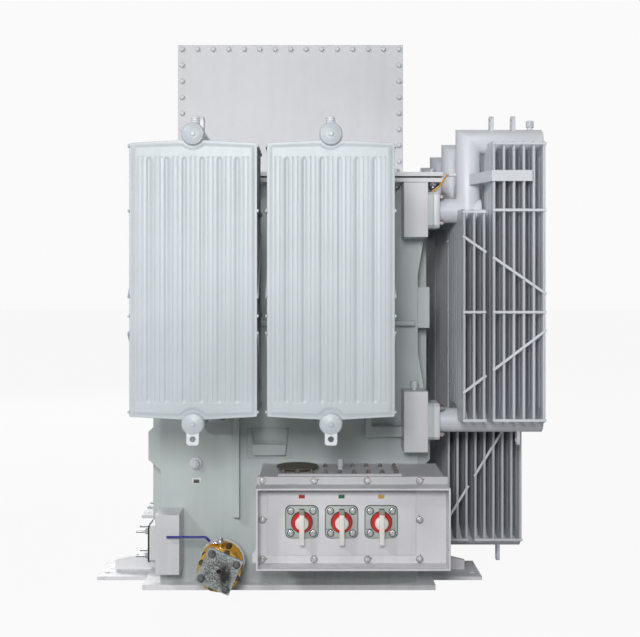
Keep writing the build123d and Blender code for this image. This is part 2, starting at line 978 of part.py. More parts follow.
def oil_boxes():
    upper_bottom = stub_z - upper_box_height / 2
    lower_bottom = first_lower_header_z - lower_box_height / 2
    return [
        oil_box(1, upper_bottom, upper_box_height),
        oil_box(1, lower_bottom, lower_box_height),
        oil_box(-1, upper_bottom, upper_box_height),
        oil_box(-1, left_box_bottom, left_box_height),
    ]


def box_gussets():
    """Thin tapered plates on the right wall, under the upper box and over the lower one."""
    upper_bottom = stub_z - upper_box_height / 2
    lower_top = first_lower_header_z + lower_box_height / 2
    middle_y = front_y + gusset_thickness / 2
    under = upright_plate(
        [
            (half_width, upper_bottom),
            (half_width + gusset_width, upper_bottom),
            (half_width, upper_bottom - gusset_height),
        ],
        gusset_thickness,
        middle_y,
    )
    over = upright_plate(
        [
            (half_width, lower_top),
            (half_width + gusset_width, lower_top),
            (half_width, lower_top + gusset_height),
        ],
        gusset_thickness,
        middle_y,
    )
    return [under, over]


def blank_places():
    """Each closed opening on the left: its wall point and its neck, on the oil boxes and along the wall."""
    lower_z = left_box_bottom + left_box_height / 2
    places = []
    for index, y in enumerate(side_radiator_ys):
        wall_x = -half_width if index else -half_width - left_box_overhang
        for z in (stub_z, lower_z):
            places.append(((wall_x, y, z), flange_neck_length if index else 0))
    return places


def left_plane(point):
    """On the left wall at one point, looking out."""
    return Plane(origin=point, z_dir=(-1, 0, 0), x_dir=(0, 0, 1))


def blank_gaskets():
    """A black rubber plate on each closed flange."""
    gasket = flange_plate(blank_gasket_thickness)
    return [
        left_plane(point) * Pos(0, 0, neck_length + flange_thickness) * gasket
        for point, neck_length in blank_places()
    ]


def blank_flanges():
    """A square flange at each left opening, closed until a radiator is fitted."""
    shapes = []
    for point, neck_length in blank_places():
        plate = left_plane(point) * Pos(0, 0, neck_length) * flange_plate(flange_thickness)
        if neck_length:
            plate += left_plane(point) * extrude(RegularPolygon(neck_radius, round_sides), amount=neck_length)
        shapes.append(plate)
    return shapes


# Document pocket
def document_pocket():
    """An open-topped sheet pocket on the front wall, with a low front."""
    high_x = pocket_left_x + pocket_width
    outside = block(
        (pocket_left_x, front_y - pocket_depth, pocket_bottom),
        (high_x, front_y, pocket_bottom + pocket_height),
    )
    room = block(
        (pocket_left_x + pocket_wall, front_y - pocket_depth + pocket_wall, pocket_bottom + pocket_wall),
        (high_x - pocket_wall, front_y - pocket_wall, pocket_bottom + pocket_height + overrun),
    )
    front_cut = block(
        (pocket_left_x + pocket_wall, front_y - pocket_depth - overrun, pocket_bottom + pocket_front_height),
        (high_x - pocket_wall, front_y - pocket_depth + pocket_wall, pocket_bottom + pocket_height + overrun),
    )
    return [outside - room - front_cut]


# Tap changer compartment
def tap_compartment():
    """A closed box on the front wall behind its bolted plate, with a small bracket low on its left side."""
    low_x = tap_left_x + tap_box_inset
    low_z = tap_bottom + tap_box_inset
    box = block((low_x, tap_front_y, low_z), (tap_right_x - tap_box_inset, front_y, gland_bottom))
    tip_x = tap_left_x - bracket_reach
    bracket = upright_plate(
        [
            (low_x, low_z),
            (tip_x, low_z),
            (tip_x, low_z + bracket_tip_height),
            (low_x, low_z + bracket_height),
        ],
        bracket_thickness,
        tap_front_y + bracket_setback,
    )
    return [box + bracket]


def tap_front_plate():
    """The bolted front plate that carries the drives and the hood."""
    low = (tap_left_x, drive_face_y, tap_bottom)
    return [block(low, (tap_right_x, tap_front_y, tap_top))]


def tap_rain_lip():
    """A deep sheet hood round the drives, standing out from the front plate."""
    front = drive_face_y - hood_projection
    bottom = tap_bottom + hood_bottom_rise
    top = tap_top - hood_top_drop
    outside = block((tap_left_x, front, bottom), (tap_right_x, drive_face_y, top))
    inside = block(
        (tap_left_x + hood_wall, front - overrun, bottom + hood_wall),
        (tap_right_x - hood_wall, drive_face_y + overrun, top - hood_wall),
    )
    return [outside - inside]


def gland_plate():
    low = (gland_left_x, gland_front_y, gland_bottom)
    return [block(low, (gland_right_x, gland_front_y + gland_depth, gland_top))]


def disc_cap():
    """A round hand-hole cap on a collar, standing on the gland plate."""
    collar = extrude(RegularPolygon(cap_collar_radius, disc_sides), amount=cap_collar_height)
    disc = extrude(RegularPolygon(cap_radius, disc_sides), amount=cap_height - cap_collar_height)
    cap = collar + Pos(0, 0, cap_collar_height) * disc
    return [Pos(cap_x, gland_front_y + cap_setback, gland_top) * cap]


# Tap drives
def drive_plane(x):
    """On the front plate at one drive, looking out."""
    return Plane(origin=(x, drive_face_y, drive_z), x_dir=(1, 0, 0), z_dir=(0, -1, 0))


def tap_drive_plates():
    outline = RectangleRounded(drive_plate_size, drive_plate_size, drive_corner_radius)
    return [drive_plane(x) * extrude(outline, amount=drive_plate_thickness) for x in drive_xs]


def tap_dials():
    """A dial with a square shaft end on each drive plate."""
    dial = extrude(RegularPolygon(dial_radius, disc_sides), amount=dial_thickness)
    shaft = extrude(Rectangle(shaft_size, shaft_size), amount=dial_thickness + shaft_length)
    return [drive_plane(x) * Pos(0, 0, drive_plate_thickness) * (dial + shaft) for x in drive_xs]


def tap_handle(x):
    """A round knob with a long pointer across it, turning on the shaft end."""
    knob = extrude(RegularPolygon(knob_radius, disc_sides), amount=knob_thickness)
    blade_middle = (pointer_above - pointer_below) / 2
    blade_length = pointer_above + pointer_below
    bar = Rectangle(pointer_width, blade_length)
    blade = Pos(0, blade_middle) * chamfer(bar.vertices(), pointer_corner_cut)
    blade_bottom = knob_thickness * (1 - pointer_tip_share)
    blade_depth = knob_thickness - blade_bottom + pointer_thickness
    pointer = Pos(0, 0, blade_bottom) * extrude(blade, amount=blade_depth)
    seat = drive_plate_thickness + dial_thickness + shaft_length + lever_clearance
    return [drive_plane(x) * Pos(0, 0, seat) * (knob + pointer)]


def name_plates():
    """A small bare plate above each drive."""
    plate = extrude(Rectangle(name_plate_width, name_plate_height), amount=name_plate_thickness)
    return [drive_plane(x) * Pos(0, name_plate_rise, 0) * plate for x in drive_xs]


# Drain valve
drain_seat_y = front_y - drain_neck_length
valve_rear_y = drain_seat_y - drain_flange_thickness
valve_front_y = valve_rear_y - drain_flange_thickness - drain_body_length - drain_flange_thickness
stem_y = (valve_rear_y + valve_front_y) / 2
bonnet_top = drain_z + drain_body_radius + bonnet_height
stem_top = bonnet_top + stem_height


def drain_neck():
    """A short pipe from the tank wall with its welded flange."""
    neck = disc_rod((drain_x, front_y, drain_z), (drain_x, drain_seat_y, drain_z), drain_neck_radius)
    ring = disc_rod((drain_x, drain_seat_y, drain_z), (drain_x, valve_rear_y, drain_z), drain_flange_radius)
    return neck + ring


def drain_valve():
    """A flanged quarter-turn valve with its bonnet and stem."""
    rear = disc_rod(
        (drain_x, valve_rear_y, drain_z),
        (drain_x, valve_rear_y - drain_flange_thickness, drain_z),
        drain_flange_radius,
    )
    body = disc_rod((drain_x, valve_rear_y, drain_z), (drain_x, valve_front_y, drain_z), drain_body_radius)
    front = disc_rod(
        (drain_x, valve_front_y + drain_flange_thickness, drain_z),
        (drain_x, valve_front_y, drain_z),
        drain_flange_radius,
    )
    bonnet_section = RegularPolygon(bonnet_radius, hexagon_sides)
    bonnet = Pos(drain_x, stem_y, drain_z) * extrude(bonnet_section, amount=bonnet_top - drain_z)
    stem = disc_rod((drain_x, stem_y, drain_z), (drain_x, stem_y, stem_top), stem_radius)
    return [rear + body + front + bonnet + stem]


def drain_blank():
    """A square blanking plate bolted on askew, with a small drip hole."""
    seat = Plane(origin=(drain_x, valve_front_y, drain_z), x_dir=(1, 0, 0), z_dir=(0, -1, 0))
    plate = Rectangle(drain_blank_size, drain_blank_size, rotation=drain_blank_angle)
    return [seat * extrude(plate - Circle(drain_blank_hole_radius), amount=drain_blank_thickness)]


def drain_lever():
    """A flat strip on the stem with a round handle bent up and out to the left."""
    bottom = stem_top + lever_clearance
    hub = disc_rod((drain_x, stem_y, bottom), (drain_x, stem_y, bottom + lever_hub_height), lever_hub_radius)
    nut_section = RegularPolygon(nut_radius, hexagon_sides)
    nut = Pos(drain_x, stem_y, bottom) * extrude(nut_section, amount=lever_hub_height + nut_height)
    strip = block(
        (drain_x - lever_bend_start, stem_y - lever_strip_width / 2, bottom),
        (drain_x, stem_y + lever_strip_width / 2, bottom + lever_strip_thickness),
    )
    low_z = bottom + lever_strip_thickness / 2
    handle = mitred_pipe(
        [
            (drain_x - lever_bend_start + lever_bend_run / 2, stem_y, low_z),
            (drain_x - lever_bend_start, stem_y, low_z),
            (drain_x - lever_bend_start - lever_bend_run, stem_y, low_z + lever_rise),
            (drain_x - lever_length, stem_y, low_z + lever_rise),
        ],
        lever_radius,
    )
    return [hub + nut + strip + handle]


# Bonding lead
def bonding_lead():
    """A short strap lead from a boss on the cover's edge up to a boss on the first riser."""
    riser_x = side_riser_x - side_pipe_radius
    top_z = cover_top + lead_rise
    boss_start = riser_x - lead_boss_length
    lead = mitred_pipe(
        [
            (lead_cover_x, lead_cover_y, cover_top),
            (lead_cover_x, lead_cover_y, top_z),
            (boss_start, side_radiator_first_y, top_z),
        ],
        lead_radius,
    )
    boss = disc_rod(
        (boss_start, side_radiator_first_y, top_z),
        (riser_x - seat_clearance, side_radiator_first_y, top_z),
        lead_boss_radius,
    )
    return [lead + boss]


nodes = {
    "base_plate": base_plate(),
    "feet": feet(),
    "tank_front_wall": end_wall(-1),
    "tank_rear_wall": end_wall(1),
    "tank_left_wall": side_wall(-1),
    "tank_right_wall": side_wall(1),
    "tank_rim": tank_rim(),
    "cover_gasket": cover_gasket(),
    "tank_cover": tank_cover(),
    "front_wall_bars": front_wall_bars(),
    "front_wall_belt": front_wall_belt(),
    "wall_stiffeners": wall_stiffeners(),
    "wall_boxes": wall_boxes(),
    "wall_gussets": tank_lugs() + box_gussets(),
    "cable_box_walls": cable_box_walls(),
    "cable_box_roof": cable_box_roof(),
    "cable_box_front_plate": cable_box_plate(-1),
    "cable_box_rear_plate": cable_box_plate(1),
    "front_left_radiator_panels": front_radiator_panels(front_radiator_x[0]),
    "front_right_radiator_panels": front_radiator_panels(front_radiator_x[1]),
    "front_radiator_pipes": front_radiator_pipes(),
    "side_radiator_pipes": side_radiator_pipes(),
    "tank_flanges": tank_flanges() + [drain_neck()],
    "front_tie_bars": front_tie_bars(),
    "side_tie_bars": side_tie_bars() + riser_straps(),
    "lifting_lugs": lifting_lugs(),
    "drain_tabs": front_drain_tabs() + side_drain_tabs(),
    "plugs": plugs(),
    "oil_boxes": oil_boxes(),
    "blank_gaskets": blank_gaskets(),
    "blank_flanges": blank_flanges(),
    "document_pocket": document_pocket(),
    "tap_compartment": tap_compartment(),
    "tap_front_plate": tap_front_plate(),
    "tap_rain_lip": tap_rain_lip(),
    "gland_plate": gland_plate(),
    "disc_cap": disc_cap(),
    "tap_drive_plates": tap_drive_plates(),
    "tap_dials": tap_dials(),
    "name_plates": name_plates(),
    "tap_handle_left": tap_handle(drive_xs[0]),
    "tap_handle_middle": tap_handle(drive_xs[1]),
    "tap_handle_right": tap_handle(drive_xs[2]),
    "drain_valve": drain_valve(),
    "drain_blank": drain_blank(),
    "drain_lever": drain_lever(),
    "bonding_lead": bonding_lead(),
}
for index in range(side_radiator_count):
    nodes["side_radiator_" + str(index + 1) + "_panels"] = side_radiator_panels(index)

os.makedirs("parts", exist_ok=True)
for name, solids in nodes.items():
    save(name, solids)
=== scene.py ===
import bmesh
import bpy
import math
from mathutils import Matrix, Vector


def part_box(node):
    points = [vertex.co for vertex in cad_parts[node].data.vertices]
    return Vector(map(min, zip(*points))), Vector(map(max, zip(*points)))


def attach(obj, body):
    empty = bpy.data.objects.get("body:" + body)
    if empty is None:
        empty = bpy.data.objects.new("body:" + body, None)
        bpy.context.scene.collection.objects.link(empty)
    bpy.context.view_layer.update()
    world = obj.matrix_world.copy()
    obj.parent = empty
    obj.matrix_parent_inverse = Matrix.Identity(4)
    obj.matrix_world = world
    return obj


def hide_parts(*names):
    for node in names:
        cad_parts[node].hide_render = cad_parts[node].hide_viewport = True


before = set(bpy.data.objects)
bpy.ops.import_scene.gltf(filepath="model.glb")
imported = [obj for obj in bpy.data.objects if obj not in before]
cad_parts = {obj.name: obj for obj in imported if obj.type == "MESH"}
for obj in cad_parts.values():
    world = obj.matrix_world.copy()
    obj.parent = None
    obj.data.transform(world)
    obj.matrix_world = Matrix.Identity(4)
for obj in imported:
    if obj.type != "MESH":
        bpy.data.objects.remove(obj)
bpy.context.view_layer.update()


# Base plate and outrigger feet
# The tank stands on a thick flame-cut plate with four outrigger feet welded to its long sides.
# Both have a paler grey paint than the tank, dusty and streaked close to the floor.
class Field:
    """A shader socket that does sums: an expression on it adds the Math nodes."""

    def __init__(self, tree, socket=None):
        self.tree = tree
        self.socket = socket

    def node(self, kind, settings=(), sockets=(), out=0):
        """Add a node, set it up, feed its sockets and hand back one of its outputs."""
        made = self.tree.nodes.new(kind)
        for name, value in dict(settings).items():
            setattr(made, name, value)
        for name, value in dict(sockets).items():
            if isinstance(value, Field):
                self.tree.links.new(value.socket, made.inputs[name])
            else:
                made.inputs[name].default_value = value
        return Field(self.tree, made.outputs[out] if made.outputs else None)

    def sum(self, operation, first, second):
        return self.node("ShaderNodeMath", {"operation": operation}, {0: first, 1: second})

    def __add__(self, other):
        return self.sum("ADD", self, other)

    def __sub__(self, other):
        return self.sum("SUBTRACT", self, other)

    def __rsub__(self, other):
        return self.sum("SUBTRACT", other, self)

    def __mul__(self, other):
        return self.sum("MULTIPLY", self, other)

    __radd__ = __add__
    __rmul__ = __mul__

    def between(self, low, high):
        """A smooth step from 0 at the low value to 1 at the high one."""
        ends = {"Value": self, "From Min": low, "From Max": high}
        return self.node("ShaderNodeMapRange", {"interpolation_type": "SMOOTHSTEP"}, ends)

    def blend(self, first, second):
        """One colour where this is 0, another where it is 1."""
        return self.node("ShaderNodeMix", {"data_type": "RGBA"}, {0: self, 6: first, 7: second}, out=2)


def tone(red, green, blue):
    """A colour as the eye reads it, 0 to 255, turned to light."""
    return tuple((c / 255) ** 2.2 for c in (red, green, blue)) + (1.0,)


def shaded(colour, share):
    """The same colour, darker or lighter by a share."""
    return tuple(c * share for c in colour[:3]) + (1.0,)


def material_start(name):
    """An empty node tree, with the surface's own place as its first field."""
    material = bpy.data.materials.new(name)
    material.use_nodes = True
    material.node_tree.nodes.clear()
    place = Field(material.node_tree).node("ShaderNodeTexCoord", out="Object")
    return material, place


def noise(place, scale, detail=3.0, stretch=(1.0, 1.0, 1.0)):
    """Cloudy noise, stretched along an axis where its scale is small."""
    moved = place.node("ShaderNodeMapping", sockets={"Vector": place, "Scale": stretch})
    return place.node("ShaderNodeTexNoise", sockets={"Vector": moved, "Scale": scale, "Detail": detail})


def surface(place, **sockets):
    """The shader and the output that end a material."""
    names = {name.replace("_", " ").title().replace("Ior", "IOR"): value for name, value in sockets.items()}
    shader = place.node("ShaderNodeBsdfPrincipled", sockets=names)
    place.node("ShaderNodeOutputMaterial", sockets={"Surface": shader})


def rounded(place, radius, height, depth):
    """A normal with softened edges and a fine relief."""
    edge = place.node("ShaderNodeBevel", {"samples": 4}, {"Radius": radius})
    return place.node("ShaderNodeBump", sockets={"Height": height, "Distance": depth, "Normal": edge})


dust_colour = tone(150, 148, 142)
soft_edge = 0.004
peel_depth = 0.0006


def painted_steel(name, colour, dust_share=0.35, roughness=0.42, dust_top=0.5):
    """Sprayed satin paint: faint clouds and runs, an orange-peel relief and dust that thins with height."""
    material, place = material_start(name)
    cloud = noise(place, 2.4, 4.0)
    runs = noise(place, 1.0, 4.0, (26.0, 26.0, 1.5))
    specks = noise(place, 70.0, 2.0)
    peel = noise(place, 260.0, 2.0)
    height = place.node("ShaderNodeSeparateXYZ", sockets={"Vector": place}, out="Z")
    low = 1.0 - height.between(0.0, dust_top)
    dust = (low * 0.7 + 0.14) * runs.between(0.44, 0.72) + specks.between(0.63, 0.74) * 0.25
    paint = cloud.between(0.3, 0.7).blend(shaded(colour, 0.93), shaded(colour, 1.03))
    surface(
        place,
        base_color=(dust * dust_share).blend(paint, dust_colour),
        roughness=cloud * 0.12 + (roughness - 0.06) + dust * 0.2,
        normal=rounded(place, soft_edge, peel, peel_depth),
    )
    return material


def dress(material, *names):
    """Give CAD nodes their finish."""
    for name in names:
        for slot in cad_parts[name].material_slots:
            slot.material = material


foot_paint = painted_steel("foot_paint", tone(240, 240, 243), dust_share=0.14, dust_top=0.12)
dress(foot_paint, "base_plate", "feet")


# Tank shell
# The tank is welded from flat steel plates, with flat bars as stiffeners on every wall.
# Its satin paint is a cool pale grey, with faint clouds and runs.
tank_paint = painted_steel("tank_paint", tone(192, 200, 200), dust_share=0.3)
dress(
    tank_paint,
    "tank_front_wall",
    "tank_rear_wall",
    "tank_left_wall",
    "tank_right_wall",
    "wall_stiffeners",
    "front_wall_bars",
    "front_wall_belt",
    "wall_boxes",
    "wall_gussets",
    "tank_flanges",
)


# Cover, rim and gasket
# A thick flat cover is bolted to a rim frame on the tank, with a black rubber gasket between them.
# The bolts are zinc-plated, with a washer under each head and a nut under the rim.
def facing(point, outward, turn=0.0):
    """The place of a shape that stands on a face, with its Z along the outward direction."""
    direction = Vector(outward).to_track_quat("Z", "Y").to_matrix().to_4x4()
    return Matrix.Translation(point) @ direction @ Matrix.Rotation(turn, 4, "Z")


def bar(shape, place, radius, low, high, sides=24):
    """A round or many-sided bar along the place's Z, between two heights."""
    middle = place @ Matrix.Translation((0.0, 0.0, (low + high) / 2))
    made = bmesh.ops.create_cone(
        shape,
        cap_ends=True,
        segments=sides,
        radius1=radius,
        radius2=radius,
        depth=high - low,
        matrix=middle,
    )
    return made["verts"]


up = (0.0, 0.0, 1.0)
down = (0.0, 0.0, -1.0)
washer_share = 1.06
washer_height_share = 0.16
head_share = 0.9
head_height_share = 0.68
head_chamfer_share = 0.14
thread_share = 0.48


def bolt_head(shape, place, size, thread=0.0):
    """A washer and a hexagon with a chamfered top, and the thread's end where a stud stands past its nut."""
    washer = size * washer_height_share
    top = washer + size * head_height_share
    chamfer = size * head_chamfer_share
    bar(shape, place, size * washer_share, 0.0, washer, 16)
    head = bar(shape, place, size * head_share, washer, top, 6)
    outward = place.to_3x3() @ Vector(up)
    caps = {face for vert in head for face in vert.link_faces if len(face.verts) == 6}
    upper = max(caps, key=lambda face: face.calc_center_median().dot(outward))
    inward = chamfer * math.cos(math.pi / 6)
    bmesh.ops.inset_region(shape, faces=[upper], thickness=inward, depth=chamfer, use_even_offset=True)
    if thread:
        bar(shape, place, size * thread_share, top, top + thread, 12)


sharp_turn = math.radians(32)


def piece(name, shape, material, slot, body="transformer", replaced=()):
    """Turn a mesh's faces outwards and make it an object that rides on a body and stands for CAD nodes."""
    bmesh.ops.recalc_face_normals(shape, faces=shape.faces)
    mesh = bpy.data.meshes.new(name)
    shape.to_mesh(mesh)
    shape.free()
    mesh.materials.append(material)
    mesh.shade_smooth()
    mesh.set_sharp_from_angle(angle=sharp_turn)
    made = bpy.data.objects.new(name, mesh)
    bpy.context.scene.collection.objects.link(made)
    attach(made, body)
    if replaced:
        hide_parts(*replaced)


def bare_metal(name, colour, roughness, stain_colour, stain_share):
    """Plated or cast metal: fine scratches, dull patches and a stain that gathers in patches."""
    material, place = material_start(name)
    patch = noise(place, 38.0, 4.0)
    grain = noise(place, 420.0, 2.0)
    stain = patch.between(0.5, 0.72) * stain_share
    surface(
        place,
        base_color=stain.blend(colour, stain_colour),
        metallic=1.0 - stain,
        roughness=grain * 0.16 + (roughness - 0.08) + stain * 0.3,
        normal=rounded(place, soft_edge / 4, grain, peel_depth),
    )
    return material


def matt_rubber(name, colour):
    """Moulded rubber with a chalky bloom."""
    material, place = material_start(name)
    bloom = noise(place, 22.0, 4.0)
    grain = noise(place, 500.0, 2.0)
    surface(
        place,
        base_color=bloom.between(0.4, 0.75).blend(colour, shaded(colour, 2.2)),
        roughness=bloom * 0.2 + 0.6,
        normal=rounded(place, soft_edge / 4, grain, peel_depth),
    )
    return material


def spread(low, high, pitch):
    """Evenly spaced places from one end to the other, about a pitch apart."""
    count = max(1, round((high - low) / pitch))
    return [low + (high - low) * i / count for i in range(count + 1)]


def rim_places(low, high, inset, pitch):
    """Places round the top of a flat plate, an inset from its edges and about a pitch apart."""
    left, right = low.x + inset, high.x - inset
    front, rear = low.y + inset, high.y - inset
    places = [(x, y) for x in spread(left, right, pitch) for y in (front, rear)]
    return places + [(x, y) for y in spread(front, rear, pitch)[1:-1] for x in (left, right)]


zinc = bare_metal("zinc_plate", tone(186, 188, 190), 0.38, tone(120, 112, 104), 0.35)
gasket_rubber = matt_rubber("gasket_rubber", tone(34, 34, 35))
box_paint = painted_steel("box_paint", tone(216, 217, 222), dust_share=0.2)
dress(box_paint, "tank_cover", "tank_rim", "oil_boxes", "blank_flanges")
dress(gasket_rubber, "cover_gasket", "blank_gaskets")

cover_low, cover_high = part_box("tank_cover")
rim_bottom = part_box("tank_rim")[0].z
cover_bolt_size = 0.018
cover_bolt_inset = 0.045
cover_bolt_pitch = 0.17
cover_bolts = bmesh.new()
for x, y in rim_places(cover_low, cover_high, cover_bolt_inset, cover_bolt_pitch):
    bolt_head(cover_bolts, facing((x, y, cover_high.z), up), cover_bolt_size)
    bolt_head(cover_bolts, facing((x, y, rim_bottom), down), cover_bolt_size, cover_bolt_size / 2)
piece("cover_bolts", cover_bolts, zinc, "worn_steel")


# Cable box
# A sheet box on the cover, with its front and rear closed by plates bolted to turned flanges.
# The bolts are painted over with the plate, so only their shapes show.
box_bolt_size = 0.014
box_bolt_inset = 0.022
box_bolt_columns = 15
box_bolt_rows = 9
dress(box_paint, "cable_box_walls", "cable_box_roof", "cable_box_front_plate", "cable_box_rear_plate")
box_bolts = bmesh.new()
for node, outward in (("cable_box_front_plate", (0, -1, 0)), ("cable_box_rear_plate", (0, 1, 0))):
    low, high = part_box(node)
    face_y = low.y if outward[1] < 0 else high.y
    left, right = low.x + box_bolt_inset, high.x - box_bolt_inset
    bottom, top = low.z + box_bolt_inset, high.z - box_bolt_inset
    places = [(left + (right - left) * i / (box_bolt_columns - 1), top) for i in range(box_bolt_columns)]
    for i in range(box_bolt_rows - 1):
        z = bottom + (top - bottom) * i / (box_bolt_rows - 1)
        places += [(left, z), (right, z)]
    for x, z in places:
        bolt_head(box_bolts, facing((x, face_y, z), outward, math.sin(x + z)), box_bolt_size)
piece("cable_box_bolts", box_bolts, box_paint, "box_paint")


# Radiator panels
# Each radiator is a stack of panels, pressed from two thin sheets that are welded round the rim.
# Flutes with rounded ends stiffen the sheets, and a shallow stamp makes room for the header at each end.
panel_half_width = 0.26
panel_pitch = 0.045
panel_half_depth = 0.006
panel_rim = 0.009
panel_rim_half = 0.002
panel_lip = 0.0006
panel_shoulder = 0.013
side_rim = 0.0016
side_shoulder = 0.005
panel_corner = 0.006
panel_arch = 0.014
flute_count = 7
flute_end = 0.056
valley_half = 0.0105
valley_depth = 0.0034
groove_half = 0.0034
groove_depth = 0.0014
groove_offset = 0.00975
stamp_radius = 0.07
stamp_slope = 0.007
stamp_depth = 0.0036
stamp_row = 0.003
stamp_row_count = 12
same_place = 1e-5
edge_shares = (0.0, 0.25, 0.6, 1.0)
valley_shares = (-1.0, -0.78, -0.5, 0.0, 0.5, 0.78, 1.0)
plain_valley_shares = (-1.0, 0.0, 1.0)
trough_floor_share = 0.35
groove_shares = (-1.0, -0.5, 0.0, 0.5, 1.0)
stamp_shares = (-0.97, -0.9, -0.78, -0.62, -0.34, 0.0, 0.34, 0.62, 0.78, 0.9, 0.97)
flute_pitch = 2 * (panel_half_width - panel_rim) / flute_count
valley_xs = [(i - flute_count / 2) * flute_pitch for i in range(1, flute_count)]
crown_xs = [(i + 0.5 - flute_count / 2) * flute_pitch for i in range(flute_count)]
groove_xs = [x + side * groove_offset for x in crown_xs for side in (-1, 1)]


def step(low, high, value):
    """A smooth rise from 0 to 1 between two values."""
    share = min(1.0, max(0.0, (value - low) / (high - low)))
    return share * share * (3 - 2 * share)


def edge_lines(rim, shoulder):
    """Distances from a panel's edge to the lines of its rim and shoulder."""
    return [0.0, panel_lip, rim] + [rim + shoulder * share for share in edge_shares[1:]]


def panel_columns(lines, fine):
    """Places across a panel that its rim, valleys and grooves need."""
    xs = {side * (panel_half_width - line) for line in lines for side in (-1, 1)}
    shares = valley_shares if fine else plain_valley_shares
    xs |= {x + valley_half * share for x in valley_xs for share in shares}
    if fine:
        xs |= {x + groove_half * share for x in groove_xs for share in groove_shares}
        xs |= {stamp_radius * share for share in stamp_shares}
    return sorted(xs)


def panel_rows(bottom, top, lines, fine):
    """Places up a panel that its rim, stamps and flute ends need."""
    lines = lines + [panel_corner * share for share in edge_shares[1:]]
    lines += [flute_end + valley_half * (1 - share) for share in valley_shares if share >= 0.0 or fine]
    if fine:
        lines += [flute_end - stamp_row * i for i in range(1, stamp_row_count + 1)]
    zs = {bottom + line for line in lines} | {top - line for line in lines} | {(bottom + top) / 2}
    return sorted(zs)


def trough(dx, dz, half):
    """How deep a rounded groove is at a place beside or past the end of its middle line."""
    return 1.0 - step(half * trough_floor_share, half, math.hypot(dx, dz))


def pressed_depth(x, z, bottom, top, headers, fine, rim, shoulder):
    """Half the thickness of the panel at one place."""
    edge = min(panel_half_width - abs(x), z - bottom, top - z)
    if edge <= 0.0:
        return 0.0
    crown = panel_half_depth - panel_rim_half
    depth = panel_rim_half + crown * step(rim, rim + shoulder, edge)
    past_end = max(0.0, bottom + flute_end + valley_half - z, z - top + flute_end + valley_half)
    depth -= valley_depth * max(trough(x - centre, past_end, valley_half) for centre in valley_xs)
    if fine:
        past_groove = max(0.0, bottom + flute_end + groove_half - z, z - top + flute_end + groove_half)
        depth -= groove_depth * max(trough(x - centre, past_groove, groove_half) for centre in groove_xs)
    for header_z in headers:
        reach = math.hypot(x, z - header_z)
        depth -= stamp_depth * (1.0 - step(stamp_radius - stamp_slope, stamp_radius, reach))
    return max(depth, panel_rim_half)


def panel_place(x, z, bottom, top):
    """The outline: corners rounded and both ends rising a little to the middle."""
    end = min(z - bottom, top - z)
    limit = panel_half_width
    if end < panel_corner:
        limit -= panel_corner - math.sqrt(panel_corner**2 - (panel_corner - end) ** 2)
    inner = panel_half_width - panel_corner
    if abs(x) > inner:
        x = math.copysign(inner + (abs(x) - inner) * (limit - inner) / panel_corner, x)
    bow = panel_arch * (1 - abs(x) / panel_half_width) * max(0.0, 1 - end / flute_end)
    return x, z + (bow if z > (bottom + top) / 2 else -bow)


def closed_mesh(shape):
    """End a shape that is to be copied into pieces."""
    mesh = bpy.data.meshes.new("copied")
    shape.to_mesh(mesh)
    shape.free()
    return mesh


def panel_mesh(bottom, top, headers, fine, rim, shoulder):
    """One panel across Y: half of it shaped from a grid, then mirrored onto its rim."""
    lines = edge_lines(rim, shoulder)
    xs = panel_columns(lines, fine)
    zs = panel_rows(bottom, top, lines, fine)
    shape = bmesh.new()
    bmesh.ops.create_grid(shape, x_segments=len(xs) - 1, y_segments=len(zs) - 1, size=1.0)
    for vert in shape.verts:
        x = xs[round((vert.co.x + 1) / 2 * (len(xs) - 1))]
        z = zs[round((vert.co.y + 1) / 2 * (len(zs) - 1))]
        depth = pressed_depth(x, z, bottom, top, headers, fine, rim, shoulder)
        x, z = panel_place(x, z, bottom, top)
        vert.co = (x, -depth, z)
    whole = shape.verts[:] + shape.edges[:] + shape.faces[:]
    bmesh.ops.mirror(shape, geom=whole, matrix=Matrix.Identity(4), merge_dist=same_place, axis="Y")
    bmesh.ops.remove_doubles(shape, verts=shape.verts, dist=same_place)
    return closed_mesh(shape)


def add_copy(shape, mesh, place):
    """Add a copy of a finished mesh at a place."""
    moved = mesh.copy()
    moved.transform(place)
    shape.from_mesh(moved)
    bpy.data.meshes.remove(moved)


panel_paint = painted_steel("panel_paint", tone(188, 196, 201), dust_share=0.16, roughness=0.36)
front_pipe_radius = 0.044
front_panel_bottom = 0.92
front_panel_top = 2.034
front_header_zs = (2.069, 0.892)
front_panel_count = 8
front_kinds = {
    fine: panel_mesh(front_panel_bottom, front_panel_top, front_header_zs, fine, panel_rim, panel_shoulder)
    for fine in (False, True)
}
for node in ("front_left_radiator_panels", "front_right_radiator_panels"):
    low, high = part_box(node)
    panels = bmesh.new()
    for i in range(front_panel_count):
        middle = ((low.x + high.x) / 2, low.y + panel_half_depth + i * panel_pitch, 0.0)
        add_copy(panels, front_kinds[i == 0], Matrix.Translation(middle))
    piece(node + "_pressed", panels, panel_paint, "panel_paint", replaced=(node,))

